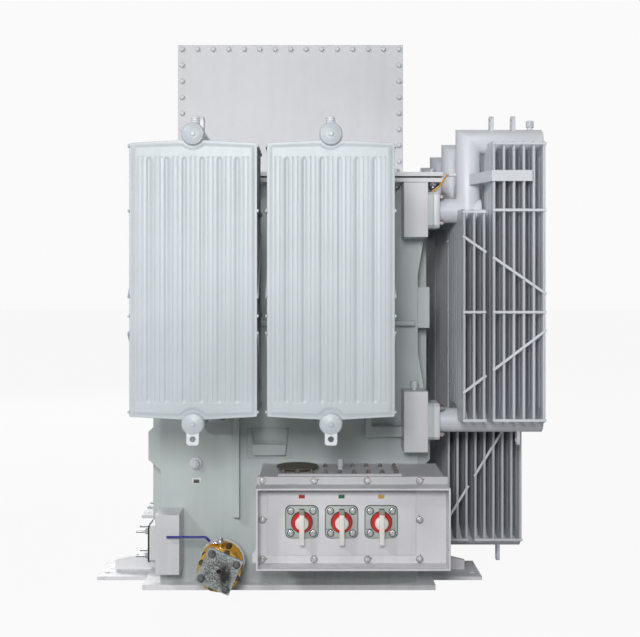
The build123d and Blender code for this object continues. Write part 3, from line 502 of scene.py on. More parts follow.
# This is a lighter copy of the radiator paint, painted light: it makes the side radiators, their pipes, lugs
# and plugs look more brightly lit.
lit_side_paint = painted_steel("lit_side_paint", tone(219, 223, 229), dust_share=0.14, roughness=0.36)
side_pipe_radius = 0.057
stub_z = 1.807
side_header_z = 2.134
side_panel_tops = (1.798, 2.106)
side_panel_bottoms = (0.834, 0.168, 0.168, 0.168)
side_header_drop = 0.016
short_count = 3
tall_count = 6
quarter_turn = Matrix.Rotation(math.pi / 2, 4, "Z")
side_lower_zs = [bottom - side_header_drop for bottom in side_panel_bottoms]
for index, bottom in enumerate(side_panel_bottoms):
    node = "side_radiator_" + str(index + 1) + "_panels"
    low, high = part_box(node)
    kinds = {}
    for tall, header_z in enumerate((stub_z, side_header_z)):
        for fine in (False, True):
            headers = (header_z, side_lower_zs[index])
            top = side_panel_tops[tall]
            kinds[tall, fine] = panel_mesh(bottom, top, headers, fine, side_rim, side_shoulder)
    panels = bmesh.new()
    for i in range(short_count + tall_count):
        middle = (low.x + panel_half_depth + i * panel_pitch, (low.y + high.y) / 2, 0.0)
        fine = i in (0, short_count + tall_count - 1)
        add_copy(panels, kinds[int(i >= short_count), fine], Matrix.Translation(middle) @ quarter_turn)
    piece(node + "_pressed", panels, lit_side_paint, "panel_paint", replaced=(node,))


# Radiator pipework
# The headers, goosenecks and risers are thick steel pipe, cut at an angle and welded at each turn.
# Each ends in a square flange that four bolts draw against the tank's own flange.
def pipe(shape, points, radius, sides=48):
    """A round pipe along straight runs, cut and welded at each corner."""
    points = [Vector(point) for point in points]
    runs = [(b - a).normalized() for a, b in zip(points, points[1:])]
    start = facing(points[0], runs[0])
    ring = bmesh.ops.create_circle(shape, cap_ends=True, segments=sides, radius=radius, matrix=start)["verts"]
    edges = list({edge for vert in ring for edge in vert.link_edges})
    for i, point in enumerate(points[1:]):
        cut = (runs[i] + runs[min(i + 1, len(runs) - 1)]).normalized()
        made = bmesh.ops.extrude_edge_only(shape, edges=edges)["geom"]
        ring = {part for part in made if isinstance(part, bmesh.types.BMVert)}
        edges = [part for part in made if isinstance(part, bmesh.types.BMEdge) and set(part.verts) <= ring]
        for vert in ring:
            vert.co += runs[i] * ((point - vert.co).dot(cut) / runs[i].dot(cut))
    bmesh.ops.contextual_create(shape, geom=edges)


def turned(profile, steps=40):
    """A turned shape: a profile of radii and heights, spun about Z."""
    shape = bmesh.new()
    line = [shape.verts.new((radius, 0.0, height)) for radius, height in profile]
    edges = [shape.edges.new(pair) for pair in zip(line, line[1:])]
    bmesh.ops.spin(
        shape,
        geom=line + edges,
        cent=(0.0, 0.0, 0.0),
        axis=(0.0, 0.0, 1.0),
        angle=math.tau,
        steps=steps,
        use_merge=True,
    )
    bmesh.ops.remove_doubles(shape, verts=shape.verts, dist=same_place)
    return closed_mesh(shape)


def flat_plate(half_x, half_y, thickness, corner, soft, segments=4):
    """A flat plate with shaped corners and softened edges, standing on the XY plane."""
    shape = bmesh.new()
    size = Matrix.Diagonal((2 * half_x, 2 * half_y, thickness, 1.0))
    bmesh.ops.create_cube(shape, size=1.0, matrix=Matrix.Translation((0.0, 0.0, thickness / 2)) @ size)
    upright = [edge for edge in shape.edges if abs(edge.verts[0].co.z - edge.verts[1].co.z) > same_place]
    bmesh.ops.bevel(
        shape, geom=upright, offset=corner, segments=segments, profile=0.5, affect="EDGES", material=-1
    )
    rims = [edge for edge in shape.edges if abs(edge.verts[0].co.z - edge.verts[1].co.z) < same_place]
    bmesh.ops.bevel(shape, geom=rims, offset=soft, segments=2, profile=0.5, affect="EDGES", material=-1)
    return closed_mesh(shape)


def weld_ring(radius, size):
    """A bead of weld round a pipe."""
    turns = [i * math.pi / 4 - math.pi / 2 for i in range(5)]
    bead = [(radius + size * math.cos(turn), size * math.sin(turn)) for turn in turns]
    return turned(bead + bead[:1])


cap_rise = 0.004
cap_hexagon = 0.0105
cap_shares = ((0.0, 1.0), (0.8, 1.0), (0.86, 0.6), (0.93, 0.6), (0.99, 0.0), (1.01, -1.5), (0.0, -1.5))


def end_cap(radius):
    """A flat disc that closes a header, with a soft rim, on the XY plane."""
    return turned([(radius * reach_share, cap_rise * rise_share) for reach_share, rise_share in cap_shares])


def square(offset):
    """The four corners of a square about the origin."""
    return [(x, y) for x in (-offset, offset) for y in (-offset, offset)]


weld_size = 0.004
flange_half = 0.085
flange_thickness = 0.028
flange_corner = 0.014
flange_soft = 0.002
flange_bolt_size = 0.017
flange_bolt_offset = 0.061
flange_gap = 0.087
front_cap_reach = 0.014
front_riser_y = -1.4
side_riser_x = 0.848
stub_end_x = 0.907
header_end_x = 1.195
front_wall_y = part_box("tank_front_wall")[0].y
right_wall_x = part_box("tank_right_wall")[1].x
side_ys = [sum(corner.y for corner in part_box("side_radiator_%d_panels" % (i + 1))) / 2 for i in range(4)]
front_xs = [
    sum(corner.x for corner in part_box("front_" + side + "_radiator_panels")) / 2 for side in ("left", "right")
]
forward = (0.0, -1.0, 0.0)
rightward = (1.0, 0.0, 0.0)
flange_mesh = flat_plate(flange_half, flange_half, flange_thickness, flange_corner, flange_soft, 1)
flange_bolts = bmesh.new()


def join_flange(shape, end, outward, heads_show):
    """The pipe's flange with four studs, and the heads behind the tank's flange where they show."""
    face = facing(end, outward)
    back = Matrix.Translation((0.0, 0.0, -2 * flange_thickness)) @ Matrix.Rotation(math.pi, 4, "X")
    add_copy(shape, flange_mesh, face @ Matrix.Translation((0.0, 0.0, -flange_thickness)))
    for x, y in square(flange_bolt_offset):
        spot = face @ Matrix.Translation((x, y, 0.0))
        bolt_head(flange_bolts, spot, flange_bolt_size, flange_bolt_size / 2)
        if heads_show:
            bolt_head(flange_bolts, spot @ back, flange_bolt_size)


def close_header(shape, end, outward, radius):
    """The disc on a header's end, with its small hexagon plug."""
    add_copy(shape, end_cap(radius), facing(end, outward))
    bar(shape, facing(end, outward), cap_hexagon, 0.0, 2 * cap_rise, 6)


front_pipes = bmesh.new()
front_cap_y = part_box("front_radiator_pipes")[0].y
panel_face_y = front_cap_y + front_cap_reach
front_end_y = front_wall_y - flange_gap
for x in front_xs:
    upper_z, lower_z = front_header_zs
    upper_end = (x, front_end_y, stub_z)
    lower_end = (x, front_end_y, lower_z)
    bends = [(x, front_riser_y, upper_z), (x, front_riser_y, stub_z)]
    pipe(front_pipes, [(x, front_cap_y, upper_z)] + bends + [upper_end], front_pipe_radius)
    pipe(front_pipes, [(x, front_cap_y, lower_z), lower_end], front_pipe_radius)
    for z, end in ((upper_z, upper_end), (lower_z, lower_end)):
        join_flange(front_pipes, end, forward, True)
        close_header(front_pipes, (x, front_cap_y, z), forward, front_pipe_radius)
        for weld_y in (panel_face_y, front_end_y):
            at = (x, weld_y, z if weld_y == panel_face_y else end[2])
            add_copy(front_pipes, weld_ring(front_pipe_radius, weld_size), facing(at, forward))
piece("front_headers", front_pipes, panel_paint, "panel_paint", replaced=("front_radiator_pipes",))

side_pipes = bmesh.new()
side_start_x = right_wall_x + flange_gap
for index, y in enumerate(side_ys):
    lower_z = side_lower_zs[index]
    upper_end = (side_start_x, y, stub_z)
    lower_end = (side_start_x, y, lower_z)
    pipe(side_pipes, [upper_end, (stub_end_x, y, stub_z)], side_pipe_radius)
    riser = [(side_riser_x, y, stub_z), (side_riser_x, y, side_header_z), (header_end_x, y, side_header_z)]
    pipe(side_pipes, riser, side_pipe_radius)
    pipe(side_pipes, [lower_end, (header_end_x, y, lower_z)], side_pipe_radius)
    for end in (upper_end, lower_end):
        join_flange(side_pipes, end, rightward, index > 0)
        add_copy(side_pipes, weld_ring(side_pipe_radius, weld_size), facing(end, rightward))
    for z in (side_header_z, lower_z):
        close_header(side_pipes, (header_end_x, y, z), rightward, side_pipe_radius)
piece("side_headers", side_pipes, lit_side_paint, "panel_paint", replaced=("side_radiator_pipes",))
# Dull steel is worn bolt metal, and on the gland bolts it also serves as painted shade.
dull_steel_and_shade = bare_metal("dull_steel_and_shade", tone(138, 132, 128), 0.45, tone(78, 62, 54), 0.6)
piece("flange_bolts", flange_bolts, dull_steel_and_shade, "worn_steel")
dress(panel_paint, "front_tie_bars")
dress(lit_side_paint, "side_tie_bars")


# Lugs, tabs and plugs on the headers
# Flat eye plates are welded upright on the headers for lifting, and hang below them as tie points.
# Each header also has a vent plug with a ribbed cap, painted with the radiator.
eye_sides = 48


def eye_plate(half_width, below, above, eye_radius, thickness, corner):
    """A flat plate with a round eye at the origin and rounded upper corners, standing across Y."""
    shape = bmesh.new()
    ring = bmesh.ops.create_circle(shape, segments=eye_sides, radius=eye_radius)["verts"]
    edges = list({edge for vert in ring for edge in vert.link_edges})
    made = bmesh.ops.extrude_edge_only(shape, edges=edges)["geom"]
    for vert in [part for part in made if isinstance(part, bmesh.types.BMVert)]:
        turn = math.atan2(vert.co.y, vert.co.x)
        across = half_width / max(abs(math.cos(turn)), same_place)
        upright = (above if vert.co.y > 0 else below) / max(abs(math.sin(turn)), same_place)
        reach = min(across, upright)
        vert.co = (reach * math.cos(turn), reach * math.sin(turn), 0.0)
        if vert.co.y > 0:
            past = Vector((abs(vert.co.x) - half_width + corner, vert.co.y - above + corner))
            if min(past) > 0:
                past = past.normalized() * min(past.length, corner)
                side = math.copysign(half_width - corner + past.x, vert.co.x)
                vert.co = (side, above - corner + past.y, 0.0)
    grown = bmesh.ops.extrude_face_region(shape, geom=shape.faces[:])["geom"]
    lifted = [part for part in grown if isinstance(part, bmesh.types.BMVert)]
    bmesh.ops.translate(shape, vec=(0.0, 0.0, thickness), verts=lifted)
    stand = Matrix.Rotation(math.pi / 2, 4, "X") @ Matrix.Translation((0.0, 0.0, -thickness / 2))
    bmesh.ops.transform(shape, matrix=stand, verts=shape.verts)
    return closed_mesh(shape)


lug_half_width = 0.03
lug_thickness = 0.016
lug_eye_radius = 0.014
lug_top = 0.03
lug_corner = 0.02
lug_rise = 0.12
lug_offsets = (0.111, 0.213)
front_lug_rise = 0.085
front_lug_setback = 0.04
lug_mesh = eye_plate(lug_half_width, lug_rise - lug_top, lug_top, lug_eye_radius, lug_thickness, lug_corner)
lugs = bmesh.new()
for y in side_ys:
    for offset in lug_offsets:
        spot = (side_riser_x + offset, y, side_header_z + lug_rise - lug_top)
        add_copy(lugs, lug_mesh, Matrix.Translation(spot) @ quarter_turn)
front_lug_z = front_header_zs[0] + front_pipe_radius + front_lug_rise - lug_top
for x in front_xs:
    spot = (x, front_riser_y - front_lug_setback, front_lug_z)
    add_copy(lugs, lug_mesh, Matrix.Translation(spot) @ quarter_turn)
piece("eye_lugs", lugs, lit_side_paint, "tank_paint", replaced=("lifting_lugs",))

tab_half_width = 0.023
tab_eye_radius = 0.012
tab_thickness = 0.01
side_tab_thickness = 0.016
front_tab_half_width = 0.0255
front_tab_drop = 0.042
tab_drops = (0.062, 0.08)
side_tab_inset = 0.11
tab_corner = 0.012
tabs = bmesh.new()
upside_down = Matrix.Rotation(math.pi, 4, "Y")
for x in front_xs:
    half = front_tab_half_width
    eye_z = front_header_zs[1] - front_pipe_radius - front_tab_drop + half
    tab_mesh = eye_plate(half, front_header_zs[1] - eye_z, half, tab_eye_radius, tab_thickness, tab_corner)
    add_copy(tabs, tab_mesh, Matrix.Translation((x, panel_face_y - tab_thickness, eye_z)) @ upside_down)
for index, y in enumerate(side_ys):
    eye_z = side_lower_zs[index] - side_pipe_radius - tab_drops[min(index, 1)] + tab_half_width
    half = tab_half_width
    reach = side_lower_zs[index] - eye_z
    tab_mesh = eye_plate(half, reach, half, tab_eye_radius, side_tab_thickness, tab_corner)
    spot = (header_end_x - side_tab_inset, y, eye_z)
    add_copy(tabs, tab_mesh, Matrix.Translation(spot) @ quarter_turn @ upside_down)
piece("eye_tabs", tabs, lit_side_paint, "tank_paint", replaced=("drain_tabs",))

neck_shares = ((0.0, -0.1), (0.7, -0.1), (0.7, 0.22))
rib_shares = ((0.9, 0.0), (1.0, 0.03), (1.0, 0.17), (0.9, 0.2))
rib_low_shares = (0.25, 0.49, 0.73)
lid_shares = ((0.82, 1.0), (0.0, 1.0))
vent_steps = 28


def vent_plug(radius, height):
    """A ribbed screw cap on a short neck, standing on the XY plane."""
    shares = list(neck_shares)
    for low_share in rib_low_shares:
        shares += [(reach_share, low_share + rise_share) for reach_share, rise_share in rib_shares]
    shares += lid_shares
    profile = [(radius * reach_share, height * rise_share) for reach_share, rise_share in shares]
    return turned(profile, vent_steps)


vent_radius = 0.019
vent_height = 0.042
side_vent_inset = 0.052
front_vent_setback = 0.09
vent = vent_plug(vent_radius, vent_height)
plugs = bmesh.new()
for x in front_xs:
    spot = (x, panel_face_y + front_vent_setback, front_header_zs[0] + front_pipe_radius)
    add_copy(plugs, vent, Matrix.Translation(spot))
for y in side_ys:
    spot = (header_end_x - side_vent_inset, y, side_header_z + side_pipe_radius)
    add_copy(plugs, vent, Matrix.Translation(spot))
oil_box_top = 0.96
oil_box_middle = (0.595, -1.0875, oil_box_top)
add_copy(plugs, vent, Matrix.Translation(oil_box_middle))
gland_plug = (0.24, -1.242, 0.61)
gland_plug_radius = 0.015
gland_plug_height = 0.05
add_copy(plugs, vent_plug(gland_plug_radius, gland_plug_height), Matrix.Translation(gland_plug))
wall_plug = (-0.448, front_wall_y, 0.598)
wall_plug_profile = [
    (0.0, 0.0),
    (0.03, 0.0),
    (0.03, 0.01),
    (0.027, 0.013),
    (0.019, 0.014),
    (0.019, 0.032),
    (0.016, 0.036),
    (0.009, 0.036),
    (0.008, 0.044),
    (0.0, 0.044),
]
add_copy(plugs, turned(wall_plug_profile), facing(wall_plug, forward))
piece("vent_plugs", plugs, lit_side_paint, "tank_paint", replaced=("plugs",))


# Closed openings on the left
# Spare openings on the left mirror those of the side radiators, and the front two are on the oil boxes.
# Each is closed by a square steel flange and a black rubber plate, held by four long zinc-plated studs.
stud_size = 0.015
stud_offset = 0.057
stud_length = 0.045
left_zs = (stub_z, 0.2445)
left_neck = 0.031
gasket_reach = 0.036
leftward = (-1.0, 0.0, 0.0)
studs = bmesh.new()
for index, y in enumerate(side_ys):
    face_x = -right_wall_x - gasket_reach - (left_neck if index else 0.0)
    for z in left_zs:
        for dy, dz in square(stud_offset):
            bolt_head(studs, facing((face_x, y + dy, z + dz), leftward), stud_size, stud_length)
piece("left_studs", studs, zinc, "worn_steel")


# Document pocket
# A plate welded to the front wall carries a small open tray, folded from sheet, for the papers of the tank.
# Its sides slope in to a low front, and both are painted with the wall.
pocket_low, pocket_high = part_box("document_pocket")
pocket_middle = (pocket_low + pocket_high) / 2
pocket_half = (pocket_high - pocket_low) / 2
pocket_plate_depth = 0.004
pocket_soft = 0.001
pocket_sheet = 0.007
pocket_rim_z = 0.694
tray_top_inset = 0.016
tray_floor_inset = 0.032
tray_floor_rise = 0.02


def set_piece(name, mesh, place, material, slot, **more):
    """One finished mesh at its place, as a piece of its own."""
    shape = bmesh.new()
    add_copy(shape, mesh, place)
    piece(name, shape, material, slot, **more)


plate_place = facing((pocket_middle.x, pocket_high.y, pocket_middle.z), forward)
plate_mesh = flat_plate(pocket_half.x, pocket_half.z, pocket_plate_depth, pocket_plate_depth, pocket_soft)
set_piece("pocket_plate", plate_mesh, plate_place, tank_paint, "tank_paint", replaced=("document_pocket",))
tray = bmesh.new()
tray_floor_z = pocket_low.z + tray_floor_rise
tray_rear_y = pocket_high.y - pocket_plate_depth
rim_share = (pocket_rim_z - tray_floor_z) / (pocket_high.z - tray_floor_z)
corners = []
for side in (-1, 1):
    top_x = pocket_middle.x + side * (pocket_half.x - tray_top_inset)
    floor_x = pocket_middle.x + side * (pocket_half.x - tray_floor_inset)
    rim_x = floor_x + (top_x - floor_x) * rim_share
    corners += [
        tray.verts.new((top_x, tray_rear_y, pocket_high.z)),
        tray.verts.new((floor_x, tray_rear_y, tray_floor_z)),
        tray.verts.new((floor_x, pocket_low.y, tray_floor_z)),
        tray.verts.new((rim_x, pocket_low.y, pocket_rim_z)),
    ]
left_side, right_side = corners[:4], corners[4:]
tray.faces.new(left_side)
tray.faces.new(right_side[::-1])
tray.faces.new((left_side[1], right_side[1], right_side[2], left_side[2]))
tray.faces.new((left_side[2], right_side[2], right_side[3], left_side[3]))
bmesh.ops.recalc_face_normals(tray, faces=tray.faces)
bmesh.ops.solidify(tray, geom=tray.faces[:], thickness=pocket_sheet)
piece("pocket_tray", tray, tank_paint, "tank_paint")


# Tap changer compartment
# A sheet steel box on the front wall, closed by a bolted plate that sits inside a folded hood.
# A bolted gland plate with a round hand-hole cap lies on its top.
# The front plate's bolts each have a red tightening mark.
def moulded(name, colour, roughness=0.35):
    """Moulded plastic or a smooth coat, with faint mottling and handling marks."""
    material, place = material_start(name)
    cloud = noise(place, 30.0, 3.0)
    marks = noise(place, 160.0, 3.0)
    grime = marks.between(0.58, 0.75) * 0.3
    body = cloud.between(0.3, 0.7).blend(shaded(colour, 0.9), colour)
    surface(
        place,
        base_color=grime.blend(body, shaded(colour, 0.6)),
        roughness=cloud * 0.16 + (roughness - 0.08) + grime * 0.4,
        normal=rounded(place, soft_edge / 4, marks, peel_depth / 2),
    )
    return material


compartment_paint = painted_steel("compartment_paint", tone(211, 211, 215), dust_share=0.22)
mark_red = moulded("mark_red", tone(170, 40, 48), 0.5)
dress(compartment_paint, "tap_compartment", "tap_front_plate", "tap_rain_lip", "gland_plate")

plate_face_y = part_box("tap_front_plate")[0].y
door_low_x, door_high_x = -0.09, 0.572
door_low_z, door_high_z = 0.256, 0.541
door_rise = 0.0025
door_soft = 0.0008
door_corner = 0.003
door_half_x = (door_high_x - door_low_x) / 2
door_half_z = (door_high_z - door_low_z) / 2
door_middle = ((door_low_x + door_high_x) / 2, plate_face_y, (door_low_z + door_high_z) / 2)
door_mesh = flat_plate(door_half_x, door_half_z, door_rise, door_corner, door_soft)
set_piece("tap_inner_plate", door_mesh, facing(door_middle, forward), compartment_paint, "tank_paint")

plate_bolt_size = 0.0125
plate_bolt_xs = (-0.11, 0.119, 0.356, 0.588)
plate_bolt_zs = (0.586, 0.238)
plate_side_z = 0.412
mark_half_width = 0.0016
mark_half_length = 0.006
mark_rise = 0.0012
mark_soft = 0.0004
washer_reach_share = 1.3
washer_lift_share = 0.1
plate_bolts = bmesh.new()
plate_washers = bmesh.new()
marks = bmesh.new()
mark_mesh = flat_plate(mark_half_width, mark_half_length, mark_rise, mark_soft, mark_soft, 1)
places = [(x, z) for x in plate_bolt_xs for z in plate_bolt_zs]
places += [(plate_bolt_xs[0], plate_side_z), (plate_bolt_xs[-1], plate_side_z)]
for x, z in places:
    turn = math.sin(40 * x + 9 * z)
    spot = facing((x, plate_face_y, z), forward, turn)
    bolt_head(plate_bolts, spot, plate_bolt_size, plate_bolt_size / 2)
    bar(plate_washers, spot, plate_bolt_size * washer_reach_share, 0.0, plate_bolt_size * washer_lift_share)
    add_copy(marks, mark_mesh, spot @ Matrix.Translation((plate_bolt_size, plate_bolt_size, 0.0)))
piece("tap_plate_bolts", plate_bolts, zinc, "worn_steel")
piece("tap_plate_washers", plate_washers, dull_steel_and_shade, "worn_steel")
piece("tightening_marks", marks, mark_red, "dial_red")

gland_low, gland_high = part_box("gland_plate")
gland_bolt_size = 0.0115
gland_bolt_inset = 0.022
gland_bolt_pitch = 0.062
gland_bolts = bmesh.new()
for x, y in rim_places(gland_low, gland_high, gland_bolt_inset, gland_bolt_pitch):
    bolt_head(gland_bolts, facing((x, y, gland_high.z), up), gland_bolt_size, gland_bolt_size / 2)
# The darker dull steel on these bolts is partly painted shade, darkening them as if they lay in shadow.
piece("gland_bolts", gland_bolts, dull_steel_and_shade, "worn_steel")

cap_brown = painted_steel("cap_brown", tone(86, 81, 70), dust_share=0.25, roughness=0.55)
cap_low, cap_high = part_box("disc_cap")
cap_radius = (cap_high.x - cap_low.x) / 2
cap_height = cap_high.z - cap_low.z
cap_neck_share = 0.72
cap_edge = 0.004
cap_steps = 72
cap_profile = [
    (0.0, 0.0),
    (cap_radius * cap_neck_share, 0.0),
    (cap_radius * cap_neck_share, cap_height / 2),
    (cap_radius - cap_edge, cap_height / 2),
    (cap_radius, cap_height / 2 + cap_edge / 2),
    (cap_radius, cap_height - cap_edge),
    (cap_radius - cap_edge, cap_height),
    (cap_radius - 2 * cap_edge, cap_height - cap_edge / 4),
    (0.0, cap_height - cap_edge / 4),
]
cap_middle = ((cap_low.x + cap_high.x) / 2, (cap_low.y + cap_high.y) / 2, cap_low.z)
cap_mesh = turned(cap_profile, cap_steps)
set_piece(
    "hand_hole_cap", cap_mesh, Matrix.Translation(cap_middle), cap_brown, "cap_finish", replaced=("disc_cap",)
)


# Tap drives
# Three cast plates are screwed to the tap plate, each with a red dial and a white handle on its shaft.
# Small coloured plates above them tell the three phases apart.
chrome = bare_metal("chrome_plate", tone(208, 210, 212), 0.24, tone(90, 92, 92), 0.4)
drive_alloy = painted_steel("drive_alloy", tone(171, 182, 175), dust_share=0.12, roughness=0.38)
dial_red = moulded("dial_red", tone(206, 36, 34), 0.32)
handle_white = moulded("handle_white", tone(229, 227, 221), 0.38)
tip_metal = painted_steel("tip_metal", tone(138, 140, 132), dust_share=0.2, roughness=0.4)

drive_xs = {"left": 0.065, "middle": 0.241, "right": 0.417}
drive_z = 0.405
drive_half = 0.071
drive_corner = 0.024
drive_soft = 0.002
drive_depth = 0.01
drive_screw_size = 0.0125
drive_screw_offset = 0.049
drive_washer_radius = drive_screw_size * washer_reach_share
drive_washer_lift = drive_screw_size * washer_lift_share
dial_depth = 0.012
dial_radius = 0.0455
dial_edge = 0.0015
gasket_rim = 0.003
gasket_depth = 0.003
knob_seat = 0.0283
knob_radius = 0.0295
knob_depth = 0.022
knob_edge = 0.003
pointer_half = 0.011
pointer_above = 0.065
pointer_below = 0.091
pointer_root = 0.0084
pointer_depth = 0.0296
pointer_soft = 0.0015
tip_length = 0.024
tip_rim = 0.0006
seam_half_length = 0.018
seam_half_width = 0.0011
seam_place = (-0.052, -0.031)
seam_depth = 0.0004
round_steps = 64

drive_mesh = flat_plate(drive_half, drive_half, drive_depth, drive_corner, drive_soft, 6)
gasket_half = drive_half + gasket_rim
gasket_mesh = flat_plate(gasket_half, gasket_half, gasket_depth, drive_corner, gasket_rim / 3, 6)
seam_mesh = flat_plate(seam_half_length, seam_half_width, seam_depth, seam_depth, seam_depth / 3, 1)
ring_reach = dial_radius + gasket_rim
ring_corners = [(0.0, gasket_depth), (ring_reach, gasket_depth), (ring_reach, 0.0), (0.0, 0.0)]
ring_mesh = turned(ring_corners, round_steps)
dial_profile = [
    (0.0, 0.0),
    (dial_radius - dial_edge, 0.0),
    (dial_radius, dial_edge),
    (dial_radius, dial_depth - dial_edge),
    (dial_radius - dial_edge, dial_depth),
    (0.0, dial_depth),
]
dial_mesh = turned(dial_profile, round_steps)
knob_profile = [
    (0.0, 0.0),
    (knob_radius, 0.0),
    (knob_radius, knob_depth - knob_edge),
    (knob_radius - knob_edge / 3, knob_depth - knob_edge / 3),
    (knob_radius - knob_edge, knob_depth),
    (0.0, knob_depth),
]
knob_mesh = turned(knob_profile, 56)
pointer_length = pointer_above + pointer_below
pointer_mesh = flat_plate(pointer_half, pointer_length / 2, pointer_depth, pointer_soft, pointer_soft, 2)
tip_half = pointer_half + tip_rim
tip_mesh = flat_plate(tip_half, tip_length / 2, pointer_depth + tip_rim, pointer_soft, pointer_soft, 2)

drive_plates = bmesh.new()
drive_gaskets = bmesh.new()
drive_screws = bmesh.new()
dials = bmesh.new()
for side, x in drive_xs.items():
    plane = facing((x, plate_face_y, drive_z), forward)
    raised = plane @ Matrix.Translation((0.0, 0.0, drive_depth))
    add_copy(drive_plates, drive_mesh, plane)
    add_copy(drive_gaskets, gasket_mesh, plane)
    add_copy(drive_gaskets, ring_mesh, raised)
    add_copy(drive_gaskets, seam_mesh, raised @ Matrix.Translation(seam_place + (0.0,)))
    add_copy(dials, dial_mesh, raised)
    for dx, dy in square(drive_screw_offset):
        spot = raised @ Matrix.Translation((dx, dy, 0.0))
        bolt_head(drive_screws, spot, drive_screw_size)
        bar(drive_gaskets, spot, drive_washer_radius, 0.0, drive_washer_lift)
    node = "tap_handle_" + side
    seat = plane @ Matrix.Translation((0.0, 0.0, knob_seat))
    handle = bmesh.new()
    add_copy(handle, knob_mesh, seat)
    middle = (pointer_above - pointer_below) / 2
    add_copy(handle, pointer_mesh, seat @ Matrix.Translation((0.0, middle, pointer_root)))
    piece(node + "_grip", handle, handle_white, "handle_white", body=node, replaced=(node,))
    tip_place = seat @ Matrix.Translation((0.0, pointer_above - tip_length / 2, pointer_root))
    set_piece(node + "_tip", tip_mesh, tip_place, tip_metal, "drive_plate", body=node)
piece("drive_plates", drive_plates, drive_alloy, "drive_plate", replaced=("tap_drive_plates",))
piece("drive_gaskets", drive_gaskets, gasket_rubber, "gasket_rubber")
piece("drive_screws", drive_screws, chrome, "worn_steel")
piece("drive_dials", dials, dial_red, "dial_red", replaced=("tap_dials",))

plate_white = moulded("plate_white", tone(226, 226, 224), 0.4)
dress(plate_white, "name_plates")
phase_colours = {"left": tone(178, 34, 44), "middle": tone(32, 104, 66), "right": tone(214, 158, 42)}
field_half_x = 0.0135
field_half_z = 0.0085
field_rise = 0.0008
plates_low, plates_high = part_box("name_plates")
field_mesh = flat_plate(field_half_x, field_half_z, field_rise, field_rise, field_rise / 3, 1)
for side, x in drive_xs.items():
    spot = (x, plates_low.y, (plates_low.z + plates_high.z) / 2)
    phase_paint = moulded("phase_" + side, phase_colours[side], 0.4)
    set_piece("phase_plate_" + side, field_mesh, facing(spot, forward), phase_paint, "name_plate")


# Drain valve
# A flanged quarter-turn valve with yellow-passivated flanges stands on a short neck near the base.
# A dirty square plate is bolted askew over its outlet, and a blue-sleeved lever works it.
gold = bare_metal("passivated_gold", tone(214, 166, 66), 0.36, tone(112, 78, 32), 0.75)
drain_x = -0.313
drain_z = 0.156
valve_low, valve_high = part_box("drain_valve")
flange_radius = (valve_high.x - valve_low.x) / 2
flange_depth = 0.02
flange_edge = 0.002
body_radius = 0.068
waist_share = 0.82
waist_radius = body_radius * waist_share
waist_end = 2 * flange_depth
body_start_share = 2.6
body_start = flange_depth * body_start_share
valve_length = valve_high.y - valve_low.y
stem_y = (valve_low.y + valve_high.y) / 2
valve = bmesh.new()
near_ring = [
    (0.0, 0.0),
    (flange_radius - flange_edge, 0.0),
    (flange_radius, flange_edge),
    (flange_radius, flange_depth - flange_edge),
    (flange_radius - flange_edge, flange_depth),
    (waist_radius, flange_depth),
]
waist = [(waist_radius, waist_end), (body_radius, body_start), (body_radius, valve_length / 2)]
half_profile = near_ring + waist
far_half = [(radius, valve_length - height) for radius, height in reversed(half_profile[:-1])]
valve_mesh = turned(half_profile + far_half, round_steps)
add_copy(valve, valve_mesh, facing((drain_x, valve_high.y, drain_z), forward))
bonnet_radius = 0.024
bonnet_rise = 0.018
bonnet_top = drain_z + body_radius + bonnet_rise
bar(valve, facing((drain_x, stem_y, 0.0), up), bonnet_radius, drain_z, bonnet_top, 6)
stem_radius = 0.012
bar(valve, facing((drain_x, stem_y, 0.0), up), stem_radius, bonnet_top, valve_high.z, 24)
piece("drain_valve_body", valve, gold, "valve_gold", replaced=("drain_valve",))

ring_radius = 0.109
ring_profile = [
    (0.0, 0.0),
    (ring_radius, 0.0),
    (ring_radius, flange_depth - flange_edge),
    (ring_radius - flange_edge, flange_depth),
    (0.0, flange_depth),
]
ring_start = (drain_x, valve_high.y + flange_depth, drain_z)
neck_ring = turned(ring_profile, round_steps)
set_piece("drain_neck_ring", neck_ring, facing(ring_start, forward), panel_paint, "tank_paint")

bolt_circle = 0.086
blank_turn = math.radians(21)
through_turn = math.radians(66)
through_size = 0.014


def round_valve(turn, y):
    """A place on the bolt circle of the valve, at a turn from the right."""
    return (drain_x + bolt_circle * math.cos(turn), y, drain_z + bolt_circle * math.sin(turn))


through_bolts = bmesh.new()
for i in range(4):
    turn = through_turn + i * math.pi / 2
    bolt_head(through_bolts, facing(round_valve(turn, valve_low.y), forward), through_size)
    rear = round_valve(turn, valve_high.y - flange_depth)
    bolt_head(through_bolts, facing(rear, forward), through_size, through_size)
dark_bolts = bare_metal("dark_bolts", tone(92, 84, 70), 0.5, tone(48, 42, 36), 0.8)
piece("drain_flange_bolts", through_bolts, dark_bolts, "worn_steel")

blank_low, blank_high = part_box("drain_blank")
blank_bolt_size = 0.0175
brass_index = 1
blank_bolts = bmesh.new()
for i in range(4):
    turn = blank_turn + i * math.pi / 2
    stud = blank_bolt_size / 2 if i != brass_index else 0.0
    bolt_head(blank_bolts, facing(round_valve(turn, blank_low.y), forward, turn), blank_bolt_size, stud)
worn_bolts = bare_metal("worn_bolts", tone(112, 114, 114), 0.42, tone(44, 41, 37), 0.9)
piece("drain_blank_bolts", blank_bolts, worn_bolts, "worn_steel")
brass = bare_metal("brass_plug", tone(196, 142, 62), 0.34, tone(90, 60, 24), 0.5)
brass_place = facing(round_valve(blank_turn + brass_index * math.pi / 2, blank_low.y), forward)
brass_radius = 0.009
brass_height = 0.0165
brass_plug = bmesh.new()
bar(brass_plug, brass_place, brass_radius, 0.0, brass_height, 16)
piece("drain_brass_stud", brass_plug, brass, "valve_gold")

oil_offset_x = 0.027
oil_offset_z = -0.022
oil_across_share = 2.2
oil_down_share = 0.5
oil_inner = 0.0002
oil_outer = 0.003
dirt_inner = 0.0008
dirt_outer = 0.0125


